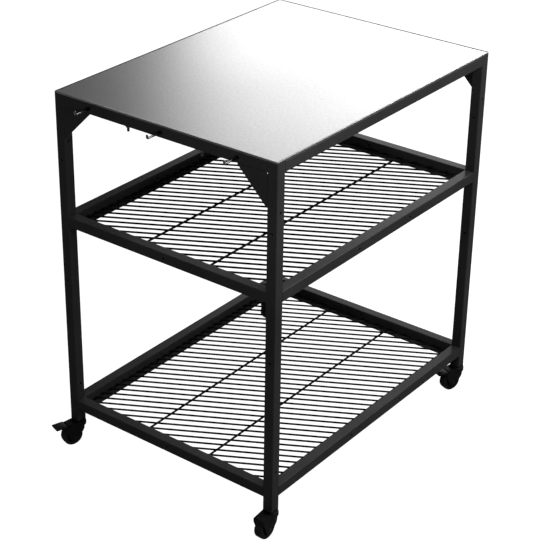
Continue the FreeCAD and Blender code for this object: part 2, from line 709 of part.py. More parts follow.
def build():
    """Build every sub-part and write it."""
    os.makedirs("parts", exist_ok=True)
    save("worktop", worktop())
    for name, side in (("front", -1), ("back", 1)):
        save("worktop_stiffener_" + name, stiffener(side))
        for end, sign_x in (("left", -1), ("right", 1)):
            save("worktop_stud_%s_%s" % (name, end), stud(sign_x * LEG_X, side * STUD_SPACING / 2))
    for name in ("front", "back", "left", "right"):
        save("top_rail_" + name, top_rail(name))
        save("mid_shelf_rail_" + name, shelf_rail(name, MID_SHELF_TOP))
        save("low_shelf_rail_" + name, shelf_rail(name, LOW_SHELF_TOP))
    save("mid_shelf_grid", shelf_grid(MID_SHELF_TOP))
    save("low_shelf_grid", shelf_grid(LOW_SHELF_TOP))
    for index, y in enumerate(hook_places()):
        save("hook_%d" % (index + 1), hook(y))
    fixed = {"plug": leg_plug(), "stem": caster_stem()}
    rolling = {"axle": caster_axle(), "tyre": caster_tyre(), "hub": caster_hub()}
    braked = dict(rolling, fork=caster_fork(True), pedal=brake_pedal())
    plain = dict(rolling, fork=caster_fork(False))
    for corner, (sign_x, sign_y) in CORNERS.items():
        save("leg_" + corner, leg(sign_x, sign_y))
        save("bracket_" + corner, bracket(sign_x, sign_y))
        for piece, shape in fixed.items():
            placed = shape.copy()
            placed.translate(Vector(sign_x * LEG_X, sign_y * LEG_Y, 0))
            save("caster_%s_%s" % (piece, corner), placed)
        turned = braked if corner in BRAKED_CASTERS else plain
        for piece, shape in turned.items():
            save("caster_%s_%s" % (piece, corner), place_caster(shape, corner))


build()
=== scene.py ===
"""Studio scene of an outdoor oven table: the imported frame, dressed with finishes and fine pieces."""
import json
import logging
import math
from dataclasses import dataclass, field
from enum import Enum
from typing import Callable, Dict, Iterable, List, Sequence, Tuple, Union

import bmesh
import bpy
from mathutils import Matrix, Vector


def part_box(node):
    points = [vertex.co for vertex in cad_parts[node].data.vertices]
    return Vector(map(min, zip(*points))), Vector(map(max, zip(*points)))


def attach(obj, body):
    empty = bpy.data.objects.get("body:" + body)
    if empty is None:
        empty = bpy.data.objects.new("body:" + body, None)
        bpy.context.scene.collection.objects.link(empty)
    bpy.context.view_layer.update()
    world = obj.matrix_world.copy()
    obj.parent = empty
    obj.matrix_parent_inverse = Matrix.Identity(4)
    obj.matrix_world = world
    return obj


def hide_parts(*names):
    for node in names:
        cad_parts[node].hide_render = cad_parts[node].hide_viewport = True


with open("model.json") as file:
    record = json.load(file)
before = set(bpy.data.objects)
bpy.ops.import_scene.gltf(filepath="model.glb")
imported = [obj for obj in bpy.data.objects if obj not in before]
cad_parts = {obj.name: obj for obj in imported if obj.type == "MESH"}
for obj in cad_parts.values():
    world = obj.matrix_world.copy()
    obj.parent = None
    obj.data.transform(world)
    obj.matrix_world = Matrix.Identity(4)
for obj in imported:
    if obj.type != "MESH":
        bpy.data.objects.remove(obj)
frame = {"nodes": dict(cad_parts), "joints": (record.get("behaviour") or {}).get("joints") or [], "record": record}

log = logging.getLogger("oven_table")

Shape = bpy.types.Object
Socket = bpy.types.NodeSocket
Colour = Tuple[float, float, float]
Outline = Sequence[Tuple[float, float]]
Number = Union[Socket, float]
Fill = Union[Socket, Sequence[float]]
Test = Callable[[Vector, Vector], bool]
MM = 0.001
WELD_DISTANCE = 1e-6
NEARLY = 0.9
NUT_FACE = 0.95
ALONG_X, ALONG_Y, ALONG_Z = Vector((1, 0, 0)), Vector((0, 1, 0)), Vector((0, 0, 1))


class Corner(Enum):
    """The table's four corners, as the frame names them."""

    FRONT_LEFT = "front_left"
    BACK_LEFT = "back_left"
    FRONT_RIGHT = "front_right"
    BACK_RIGHT = "back_right"


class Shelf(Enum):
    """The two shelves, as the frame names them."""

    MID = "mid"
    LOW = "low"


class Part(Enum):
    """What a selection in edit mode is made of."""

    VERT = "VERT"
    EDGE = "EDGE"
    FACE = "FACE"


class Cut(Enum):
    """What a boolean keeps."""

    REMOVE = "DIFFERENCE"
    ADD = "UNION"
    OVERLAP = "INTERSECT"


# Modelling as by hand: short wraps round the operators


def activate(piece: Shape) -> None:
    """Make a piece the only one selected, and the active one, in object mode.

    Args:
        piece: the piece.
    """
    if bpy.context.mode == "EDIT_MESH":
        leave_edit()
    bpy.ops.object.select_all(action="DESELECT")
    piece.select_set(True)
    bpy.context.view_layer.objects.active = piece


def leave_edit() -> None:
    """Go back to object mode."""
    bpy.ops.object.mode_set(mode="OBJECT")


def edit_all(piece: Shape, part: Part = Part.VERT) -> None:
    """Open a piece in edit mode with all of it selected.

    Args:
        piece: the piece to edit.
        part: what the selection is made of.
    """
    if bpy.context.mode != "EDIT_MESH":
        activate(piece)
        bpy.ops.object.mode_set(mode="EDIT")
    bpy.ops.mesh.select_mode(type=part.value)
    bpy.ops.mesh.select_all(action="SELECT")


def primitive(name: str, operator: Callable[..., object], **values: object) -> Shape:
    """Add a primitive and write its place into its mesh.

    Args:
        name: the piece's name.
        operator: Blender's operator that adds it.
        values: the operator's settings.

    Returns:
        The piece.
    """
    bpy.ops.object.select_all(action="DESELECT")
    operator(**values)
    piece = bpy.context.object
    piece.name = name
    activate(piece)
    bpy.ops.object.transform_apply(location=True, rotation=True, scale=True)
    return piece


def add_block(name: str, low: Sequence[float], high: Sequence[float]) -> Shape:
    """Add a block between its lowest and its highest corner."""
    return primitive(
        name, bpy.ops.mesh.primitive_cube_add, size=1,
        location=[(a + b) / 2 for a, b in zip(low, high)], scale=[b - a for a, b in zip(low, high)])


def turned(
    name: str, origin: Vector, axis: Vector, outline: Outline, sides: int = 48, ring: bool = False
) -> Shape:
    """Model a turned shape: a circle, extruded and scaled from point to point of its outline.

    Args:
        name: the shape's name.
        origin: the point that the outline's distances start from.
        axis: the direction of the turning axis.
        outline: distance along the axis and radius of each point.
        sides: how many sides the circle has.
        ring: whether the outline closes on itself, which leaves a bore.

    Returns:
        The closed shape.
    """
    way = axis.normalized()
    along, radius = outline[0]
    piece = primitive(
        name, bpy.ops.mesh.primitive_circle_add, vertices=sides, radius=radius, fill_type="NOTHING",
        location=origin + way * along, rotation=ALONG_Z.rotation_difference(way).to_euler())
    edit_all(piece, Part.EDGE)
    for next_along, next_radius in list(outline[1:]) + (list(outline[:1]) if ring else []):
        step = way * (next_along - along)
        bpy.ops.mesh.extrude_edges_move(TRANSFORM_OT_translate={"value": step})
        bpy.ops.transform.resize(
            value=[next_radius / radius] * 3, center_override=origin + way * next_along)
        along, radius = next_along, next_radius
    close_mesh(piece)
    return piece


def outlined(name: str, points: Sequence[Vector], depth: Vector) -> Shape:
    """Draw a closed outline point by point, fill it and extrude it.

    Args:
        name: the shape's name.
        points: the outline's corners.
        depth: how far and which way it is extruded.

    Returns:
        The closed shape.
    """
    piece = primitive(name, bpy.ops.mesh.primitive_plane_add, size=MM, location=points[0])
    edit_all(piece)
    bpy.ops.mesh.merge(type="CENTER")
    for start, end in zip(points, points[1:]):
        bpy.ops.mesh.extrude_region_move(TRANSFORM_OT_translate={"value": end - start})
    bpy.ops.mesh.select_all(action="SELECT")
    bpy.ops.mesh.edge_face_add()
    bpy.ops.mesh.extrude_region_move(TRANSFORM_OT_translate={"value": depth})
    close_mesh(piece)
    return piece


def close_mesh(piece: Shape) -> None:
    """Merge a piece's doubled points, fill its open ends and turn its faces outwards.

    Args:
        piece: the piece to close.
    """
    edit_all(piece)
    bpy.ops.mesh.remove_doubles(threshold=WELD_DISTANCE)
    bpy.ops.mesh.fill_holes(sides=0)
    bpy.ops.mesh.normals_make_consistent(inside=False)
    leave_edit()


def upright(centre: Vector, along: Vector) -> bool:
    """Whether an edge stands upright."""
    return abs(along.z) > NEARLY


def pick(piece: Shape, part: Part, test: Test) -> None:
    """Enter edit mode and select the faces, edges or vertices that pass a test.

    Args:
        piece: the piece to edit.
        part: what is selected.
        test: takes a centre and a normal, or for an edge a centre and its direction.

    Raises:
        ValueError: when nothing passes.
    """
    activate(piece)
    bpy.ops.object.mode_set(mode="EDIT")
    bpy.ops.mesh.select_mode(type=part.value)
    bpy.ops.mesh.select_all(action="DESELECT")
    mesh = bmesh.from_edit_mesh(piece.data)
    found = 0
    if part is Part.EDGE:
        for edge in mesh.edges:
            start, end = (vert.co for vert in edge.verts)
            edge.select_set(test((start + end) / 2, (end - start).normalized()))
            found += edge.select
    else:
        for item in mesh.faces if part is Part.FACE else mesh.verts:
            centre = item.calc_center_median() if part is Part.FACE else item.co
            item.select_set(test(centre, item.normal))
            found += item.select
    mesh.select_flush_mode()
    bmesh.update_edit_mesh(piece.data)
    if not found:
        raise ValueError("nothing to pick on " + piece.name)


def bevel_edges(piece: Shape, width: float, segments: int, test: Test) -> None:
    """Round the edges that pass a test.

    Args:
        piece: the piece to edit.
        width: how far each edge is cut back.
        segments: how many steps the rounding has.
        test: takes an edge's centre and its direction.
    """
    pick(piece, Part.EDGE, test)
    bpy.ops.mesh.bevel(offset=width, segments=segments, affect="EDGES")
    leave_edit()


def add_modifier(piece: Shape, kind: str, **values: object) -> None:
    """Add one modifier with its values and apply it.

    Args:
        piece: the piece that takes it.
        kind: Blender's name of the modifier's type.
        values: the modifier's own settings.
    """
    activate(piece)
    modifier = piece.modifiers.new(kind.title(), kind)
    for key, value in values.items():
        setattr(modifier, key, value)
    bpy.ops.object.modifier_apply(modifier=modifier.name)


def soften(piece: Shape, width: float, segments: int = 2, angle: float = 35.0) -> None:
    """Round a piece's sharp edges and shade it smooth.

    Args:
        piece: the piece to finish.
        width: how far each edge is cut back.
        segments: how many steps the rounding has.
        angle: edges sharper than this, in degrees, are rounded.
    """
    limit = math.radians(angle)
    add_modifier(piece, "BEVEL", width=width, segments=segments, limit_method="ANGLE", angle_limit=limit)
    smooth(piece, angle)


def smooth(piece: Shape, angle: float = 35.0) -> None:
    """Shade a piece smooth, but for edges sharper than an angle in degrees."""
    activate(piece)
    bpy.ops.object.shade_smooth_by_angle(angle=math.radians(angle))


def join(name: str, pieces: Sequence[Shape]) -> Shape:
    """Join pieces into one.

    Args:
        name: the joined piece's name.
        pieces: what is joined.

    Returns:
        The joined piece.
    """
    activate(pieces[0])
    for piece in pieces:
        piece.select_set(True)
    if len(pieces) > 1:
        bpy.ops.object.join()
    pieces[0].name = name
    return pieces[0]


def combine(piece: Shape, other: Shape, cut: Cut) -> None:
    """Change a piece by a second one, which is used up."""
    add_modifier(piece, "BOOLEAN", operation=cut.value, object=other, solver="EXACT")
    discard([other])


def copy_placed(piece: Shape, name: str, place: Matrix) -> Shape:
    """Copy a piece with its own mesh.

    Args:
        piece: the piece to copy.
        name: the copy's name.
        place: the matrix that moves the copy's mesh.

    Returns:
        The copy.
    """
    mesh = piece.data.copy()
    mesh.transform(place)
    duplicate = bpy.data.objects.new(name, mesh)
    bpy.context.scene.collection.objects.link(duplicate)
    return duplicate


def repeat(pattern: Shape, name: str, places: Iterable[Matrix]) -> Shape:
    """Copy a pattern to its places, and join the copies.

    Args:
        pattern: the piece that repeats, which is used up.
        name: the joined piece's name.
        places: a matrix for each copy.

    Returns:
        The joined copies.
    """
    copies = [copy_placed(pattern, name, place) for place in places]
    discard([pattern])
    return join(name, copies)


def shift(place: Vector) -> Matrix:
    """The matrix that moves a pattern to a place."""
    return Matrix.Translation(place)


def spin_about(axis: str, degrees: float) -> Matrix:
    """The matrix that turns a pattern about an axis through the origin."""
    return Matrix.Rotation(math.radians(degrees), 4, axis)


def discard(pieces: Iterable[Shape]) -> None:
    """Remove patterns and tools that the table itself doesn't have."""
    for piece in pieces:
        bpy.data.objects.remove(piece, do_unlink=True)


def hexagon_nut(start: Vector, way: Vector, flats: float, height: float, both_faces: bool) -> Shape:
    """Model a hexagon nut with its corners turned down.

    Args:
        start: the middle of its first face.
        way: the direction from there to its last face.
        flats: its width across flats.
        height: its height.
        both_faces: whether the first face's corners are turned down too.

    Returns:
        The nut.
    """
    corner = flats / 2 / math.cos(math.pi / 6)
    face = NUT_FACE * flats / 2
    chamfer = (corner - face) * math.tan(math.pi / 6)
    nut = turned("nut", start, way, [(0, corner), (height, corner)], 6)
    first = [(0, face), (chamfer, corner)] if both_faces else [(-chamfer, corner)]
    lathe = turned("lathe", start, way, first + [(height - chamfer, corner), (height, face)])
    combine(nut, lathe, Cut.OVERLAP)
    smooth(nut, 25.0)
    return nut


def middle(node: str) -> Vector:
    """The centre of a CAD node's box."""
    low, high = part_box(node)
    return (low + high) / 2


# Shader sheets: short wraps round the node trees


class NodeSheet:
    """Writes nodes and links into one tree."""

    def __init__(self, tree: bpy.types.NodeTree) -> None:
        """Keep the tree that is written."""
        self.tree = tree

    def add(self, kind: str, **values: object) -> bpy.types.Node:
        """Add a node.

        Args:
            kind: Blender's name of the node's type.
            values: settings of the node itself.

        Returns:
            The new node.
        """
        node = self.tree.nodes.new(kind)
        for key, value in values.items():
            setattr(node, key, value)
        return node

    def feed(self, value: Union[Number, Fill], target: Socket) -> None:
        """Give a socket a link or a constant.

        Args:
            value: what feeds it.
            target: the socket.
        """
        if isinstance(value, Socket):
            self.tree.links.new(value, target)
        else:
            target.default_value = value

    def noise(self, vector: Socket, scale: Number, detail: float, rough: float = 0.5) -> Socket:
        """Read a noise texture.

        Args:
            vector: where it is read.
            scale: waves per metre.
            detail: how many finer layers it has.
            rough: how strong the finer layers are.

        Returns:
            Its value.
        """
        node = self.add("ShaderNodeTexNoise")
        for key, value in (("Vector", vector), ("Scale", scale), ("Detail", detail), ("Roughness", rough)):
            self.feed(value, node.inputs[key])
        return node.outputs["Fac"]

    def spread(self, value: Socket, old: Tuple[float, float], new: Tuple[float, float]) -> Socket:
        """Map a value from one range to another, held at its ends.

        Args:
            value: the value that is mapped.
            old: the range that it comes in.
            new: the range that it leaves in.

        Returns:
            The mapped value.
        """
        node = self.add("ShaderNodeMapRange")
        keys = ("Value", "From Min", "From Max", "To Min", "To Max")
        for key, number in zip(keys, (value, *old, *new)):
            self.feed(number, node.inputs[key])
        return node.outputs["Result"]

    def maths(self, operation: str, *values: Number) -> Socket:
        """Work out one value from others.

        Args:
            operation: Blender's name of the operation.
            values: what it works on.

        Returns:
            The result.
        """
        node = self.add("ShaderNodeMath", operation=operation)
        for value, socket in zip(values, node.inputs):
            self.feed(value, socket)
        return node.outputs["Value"]

    def facing_up(self) -> Socket:
        """Read how far a face looks up.

        Returns:
            A value from -1 to 1.
        """
        parts = self.add("ShaderNodeSeparateXYZ")
        self.feed(self.add("ShaderNodeNewGeometry").outputs["Normal"], parts.inputs["Vector"])
        return parts.outputs["Z"]

    def seen_or_cast(self, seen: float, cast: float) -> Socket:
        """Give one strength to the camera and another to what is lit or mirrored."""
        return self.spread(self.add("ShaderNodeLightPath").outputs["Is Camera Ray"], (0.0, 1.0), (cast, seen))

    def blend(self, share: Socket, first: Fill, second: Fill) -> Socket:
        """Mix two colours.

        Args:
            share: how much of the second shows.
            first: the first colour.
            second: the second colour.

        Returns:
            The mixed colour.
        """
        node = self.add("ShaderNodeMix", data_type="RGBA")
        self.feed(share, node.inputs["Factor"])
        for socket, value in zip([s for s in node.inputs if s.type == "RGBA"], (first, second)):
            self.feed(value, socket)
        return next(s for s in node.outputs if s.type == "RGBA")


class Effect(NodeSheet):
    """A shader node group with named sockets, built once and shared by finishes."""

    KINDS = {"value": "NodeSocketFloat", "colour": "NodeSocketColor", "vector": "NodeSocketVector"}

    def __init__(self, name: str, inputs: Dict[str, str], outputs: Dict[str, str]) -> None:
        """Start the group.

        Args:
            name: the group's name.
            inputs: each input's name and kind.
            outputs: each output's name and kind.
        """
        super().__init__(bpy.data.node_groups.new(name, "ShaderNodeTree"))
        for way, sockets in (("INPUT", inputs), ("OUTPUT", outputs)):
            for label, kind in sockets.items():
                self.tree.interface.new_socket(name=label, in_out=way, socket_type=self.KINDS[kind])
        self.given = self.add("NodeGroupInput").outputs
        self.result = self.add("NodeGroupOutput").inputs


def dust_and_top_light_film() -> Effect:
    """A pale film on faces that look up, in soft patches: dust, and also painted light that lightens those faces
    as the light falls on them; gives the colour and the film's share.
    """
    sheet = Effect(
        "dust_and_top_light_film", {"Vector": "vector", "Colour": "colour", "Dust": "colour", "Amount": "value"},
        {"Colour": "colour", "Film": "value"})
    upward = sheet.spread(sheet.facing_up(), old=(0.3, 1.0), new=(0.15, 1.0))
    waves = sheet.noise(sheet.given["Vector"], scale=9.0, detail=5.0, rough=0.6)
    patches = sheet.spread(waves, old=(0.35, 0.7), new=(0.35, 1.0))
    film = sheet.maths("MULTIPLY", sheet.maths("MULTIPLY", upward, patches), sheet.given["Amount"])
    sheet.feed(sheet.blend(film, sheet.given["Colour"], sheet.given["Dust"]), sheet.result["Colour"])
    sheet.feed(film, sheet.result["Film"])
    return sheet


def uneven_tone() -> Effect:
    """A slow change between two values, with its share for a colour."""
    sheet = Effect(
        "uneven_tone", {"Vector": "vector", "Scale": "value", "Low": "value", "High": "value"},
        {"Value": "value", "Share": "value"})
    waves = sheet.noise(sheet.given["Vector"], sheet.given["Scale"], detail=3.0)
    share = sheet.spread(waves, old=(0.3, 0.7), new=(0.0, 1.0))
    width = sheet.maths("SUBTRACT", sheet.given["High"], sheet.given["Low"])
    value = sheet.maths("ADD", sheet.maths("MULTIPLY", share, width), sheet.given["Low"])
    sheet.feed(value, sheet.result["Value"])
    sheet.feed(share, sheet.result["Share"])
    return sheet


def fine_skin() -> Effect:
    """Fine bumps with a few coarser ones, as on a baked coat or a moulding."""
    sheet = Effect("fine_skin", {"Vector": "vector", "Fine": "value", "Coarse": "value"}, {"Height": "value"})
    heights = [
        sheet.maths("MULTIPLY", sheet.noise(sheet.given["Vector"], sheet.given[label], detail=2.0), share)
        for label, share in (("Fine", 0.7), ("Coarse", 0.3))
    ]
    sheet.feed(sheet.maths("ADD", *heights), sheet.result["Height"])
    return sheet


def rolled_grain() -> Effect:
    """Short fine lines, as rolling and drawing leave them in steel: their height and share for a colour."""
    sheet = Effect(
        "rolled_grain", {"Vector": "vector", "Stretch": "vector"}, {"Height": "value", "Share": "value"})
    drawn = sheet.add("ShaderNodeVectorMath", operation="MULTIPLY")
    sheet.feed(sheet.given["Vector"], drawn.inputs[0])
    sheet.feed(sheet.given["Stretch"], drawn.inputs[1])
    height = sheet.noise(drawn.outputs["Vector"], scale=1.0, detail=4.0, rough=0.6)
    sheet.feed(height, sheet.result["Height"])
    sheet.feed(sheet.spread(height, old=(0.3, 0.7), new=(0.0, 1.0)), sheet.result["Share"])
    return sheet


def painted_side_shade() -> Effect:
    """Painted shade: darker tones where a sheet is folded down and along its leaning rim, by how far a face looks
    up, standing in for the shade and dimmer reflection there.
    """
    sheet = Effect(
        "painted_side_shade", {"Vector": "vector", "Colour": "colour", "Side": "colour", "Rim": "colour"},
        {"Colour": "colour"})
    level = sheet.maths("ABSOLUTE", sheet.facing_up())
    # Painted shade: steep folded faces take the side tone, the leaning rim the darker rim tone, and only flat tops
    # keep the steel's own colour.
    leaning = sheet.spread(level, old=(0.9, 0.94), new=(0.0, 1.0))
    flat = sheet.spread(level, old=(0.98, 0.999), new=(0.0, 1.0))
    shaded_fold = sheet.blend(leaning, sheet.given["Side"], sheet.given["Rim"])
    sheet.feed(sheet.blend(flat, shaded_fold, sheet.given["Colour"]), sheet.result["Colour"])
    return sheet


@dataclass
class Effects:
    """The shared effects, each built once."""

    # Dust film, which also paints light on the faces that look up.
    dust_and_top_light: Effect = field(default_factory=dust_and_top_light_film)
    tone: Effect = field(default_factory=uneven_tone)
    skin: Effect = field(default_factory=fine_skin)
    grain: Effect = field(default_factory=rolled_grain)
    # Painted shade on folded sides and the leaning rim.
    sides: Effect = field(default_factory=painted_side_shade)


class Dresser(NodeSheet):
    """Writes one material round a Principled shader, on Object coordinates."""

    def __init__(self, name: str) -> None:
        """Start the material.

        Args:
            name: the material's name.
        """
        self.material = bpy.data.materials.new(name)
        self.material.use_nodes = True
        super().__init__(self.material.node_tree)
        self.tree.nodes.clear()
        self.shader = self.add("ShaderNodeBsdfPrincipled")
        self.feed(self.shader.outputs["BSDF"], self.add("ShaderNodeOutputMaterial").inputs["Surface"])
        self.place = self.add("ShaderNodeTexCoord").outputs["Object"]

    def apply(self, effect: Effect, **values: Union[Number, Fill]) -> bpy.types.Node:
        """Place a shared effect with this material's own values.

        Args:
            effect: the effect.
            values: its inputs by name.

        Returns:
            The group's node.
        """
        node = self.add("ShaderNodeGroup")
        node.node_tree = effect.tree
        self.feed(self.place, node.inputs["Vector"])
        for key, value in values.items():
            self.feed(value, node.inputs[key])
        return node

    def two_tone(self, share: Socket, first: Colour, second: Colour) -> Socket:
        """Run from one colour to another.

        Args:
            share: how much of the second shows.
            first: the first colour.
            second: the second colour.

        Returns:
            The colour.
        """
        ramp = self.add("ShaderNodeValToRGB")
        for element, colour in zip(ramp.color_ramp.elements, (first, second)):
            element.color = (*colour, 1.0)
        self.feed(share, ramp.inputs["Fac"])
        return ramp.outputs["Color"]

    def wear(self, **values: Union[Number, Fill]) -> None:
        """Feed the shader's own sockets, with _ for a space in their names."""
        for key, value in values.items():
            self.feed(value, self.shader.inputs[key.replace("_", " ")])

    def bump(self, height: Socket, strength: float, depth: float) -> Socket:
        """Raise the surface by a height.

        Args:
            height: the height.
            strength: how much of it shows, from 0 to 1.
            depth: the bumps' real depth in metres.

        Returns:
            The bent normal.
        """
        node = self.add("ShaderNodeBump")
        self.feed(height, node.inputs["Height"])
        self.feed(strength, node.inputs["Strength"])
        self.feed(depth, node.inputs["Distance"])
        return node.outputs["Normal"]


def grey(tone: float, blue: float = 0.0) -> Colour:
    """Give a grey, with a little more blue where it is cold."""
    return tone, tone, tone + blue


@dataclass(frozen=True)
class Coat:
    """Powder coat, plastic or rubber: a dark base with a fine skin and a little dust, which also paints light on
    the faces that look up.
    """

    name: str
    colour: Colour
    pale: Colour
    rough: Tuple[float, float]
    specular: float
    fine: float
    depth: float
    dust_and_top_light: float
    patch: float = 8.0

    def material(self, effects: Effects) -> bpy.types.Material:
        """Build the finish.

        Args:
            effects: the shared effects.

        Returns:
            The material.
        """
        sheet = Dresser(self.name)
        tone = sheet.apply(effects.tone, Scale=self.patch, Low=self.rough[0], High=self.rough[1])
        base = sheet.two_tone(tone.outputs["Share"], self.colour, self.pale)
        # The pale film is dust and painted top light: it lightens the faces that look up.
        film = sheet.apply(effects.dust_and_top_light, Colour=base, Dust=(0.32, 0.31, 0.3, 1.0), Amount=self.dust_and_top_light)
        haze = sheet.maths("MULTIPLY", film.outputs["Film"], 0.5)
        skin = sheet.apply(effects.skin, Fine=self.fine, Coarse=self.fine * 0.3)
        sheet.wear(
            Base_Color=film.outputs["Colour"],
            Roughness=sheet.maths("ADD", tone.outputs["Value"], haze),
            Normal=sheet.bump(skin.outputs["Height"], 0.35, self.depth),
            Specular_IOR_Level=self.specular,
        )
        return sheet.material


@dataclass(frozen=True)
class Steel:
    """Bare or plated steel with the fine grain of its making, a little dust that also paints light on faces that
    look up, and painted shade on its folded sides and rim.
    """

    name: str
    colour: Colour
    pale: Colour
    # side and rim are painted shade: darker tones for the folded sides and for the leaning rim.
    side: Colour
    rim: Colour
    rough: Tuple[float, float]
    stretch: Tuple[float, float, float]
    depth: float
    dust_and_top_light: float = 0.01

    def material(self, effects: Effects) -> bpy.types.Material:
        """Build the finish.

        Args:
            effects: the shared effects.

        Returns:
            The material.
        """
        sheet = Dresser(self.name)
        grain = sheet.apply(effects.grain, Stretch=self.stretch)
        tone = sheet.apply(effects.tone, Scale=2.5, Low=self.rough[0], High=self.rough[1])
        base = sheet.two_tone(grain.outputs["Share"], self.colour, self.pale)
        # Painted shade on folded sides and the leaning rim, by how far a face looks up.
        shaded = sheet.apply(effects.sides, Colour=base, Side=(*self.side, 1.0), Rim=(*self.rim, 1.0))
        film = sheet.apply(
            effects.dust_and_top_light, Colour=shaded.outputs["Colour"], Dust=(0.5, 0.49, 0.47, 1.0), Amount=self.dust_and_top_light)
        haze = sheet.maths("MULTIPLY", grain.outputs["Height"], 0.04)
        sheet.wear(
            Base_Color=film.outputs["Colour"],
            Roughness=sheet.maths("ADD", tone.outputs["Value"], haze),
            Normal=sheet.bump(grain.outputs["Height"], 0.2, self.depth),
            Metallic=1.0,
        )
        return sheet.material


class Finishes:
    """Every finish of the table, built once, by the record's slots."""

    RECIPES: Dict[str, Union[Coat, Steel]] = {
        # The worktop's side and rim tones are painted shade: darker on its folded sides, darkest along the leaning
        # rim.
        "stainless": Steel(
            "satin_worktop", colour=grey(0.355), pale=grey(0.465), side=grey(0.17), rim=grey(0.03),
            rough=(0.285, 0.32), stretch=(120.0, 300.0, 300.0), depth=0.01 * MM),
        "bright_steel": Steel(
            "drawn_steel", colour=grey(0.12), pale=grey(0.17), side=grey(0.14), rim=grey(0.14),
            rough=(0.12, 0.16), stretch=(500.0, 500.0, 500.0), depth=0.02 * MM),
        "zinc_steel": Steel(
            "dark_zinc", colour=grey(0.014), pale=grey(0.022), side=grey(0.018), rim=grey(0.018),
            rough=(0.5, 0.62), stretch=(400.0, 400.0, 400.0), depth=0.03 * MM, dust_and_top_light=0.003),
        # The film amounts on these coats are partly painted top light: besides dust they lighten the faces that
        # look up.
        "coated_frame": Coat(
            "frame_coat", colour=grey(0.0044, 0.0002), pale=grey(0.0064, 0.0002), rough=(0.32, 0.38),
            specular=0.039, fine=2600.0, depth=0.06 * MM, dust_and_top_light=0.008),
        "coated_rod": Coat(
            "rod_coat", colour=grey(0.0008, 0.0001), pale=grey(0.0013, 0.0001), rough=(0.34, 0.4),
            specular=0.012, fine=3200.0, depth=0.04 * MM, dust_and_top_light=0.002),
        "moulding": Coat(
            "black_moulding", colour=grey(0.0012), pale=grey(0.002), rough=(0.34, 0.42),
            specular=0.03, fine=3000.0, depth=0.04 * MM, dust_and_top_light=0.003, patch=30.0),
        "tyre": Coat(
            "tyre_rubber", colour=grey(0.0024), pale=grey(0.0034), rough=(0.6, 0.7),
            specular=0.06, fine=1800.0, depth=0.08 * MM, dust_and_top_light=0.003, patch=40.0),
    }

    def __init__(self) -> None:
        """Build the materials."""
        effects = Effects()
        self.made = {slot: recipe.material(effects) for slot, recipe in self.RECIPES.items()}

    def dress(self, piece: Shape, slot: str, body: str, *nodes: str) -> Shape:
        """Give a new piece its finish and its body, and hide the CAD nodes that it stands for.

        Args:
            piece: the piece.
            slot: the record's slot.
            body: the body that it moves with.
            nodes: the CAD nodes that it replaces.

        Returns:
            The piece.
        """
        piece.data.materials.clear()
        piece.data.materials.append(self.made[slot])
        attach(piece, body)
        if nodes:
            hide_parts(*nodes)
        return piece

    def dress_nodes(self) -> None:
        """Give every CAD node the finish of its slot."""
        slots = {entry["node"]: entry["material_slot"] for entry in frame["record"]["subparts"]}
        for name, node in frame["nodes"].items():
            for holder in node.material_slots:
                holder.link = "OBJECT"
                holder.material = self.made[slots[name]]


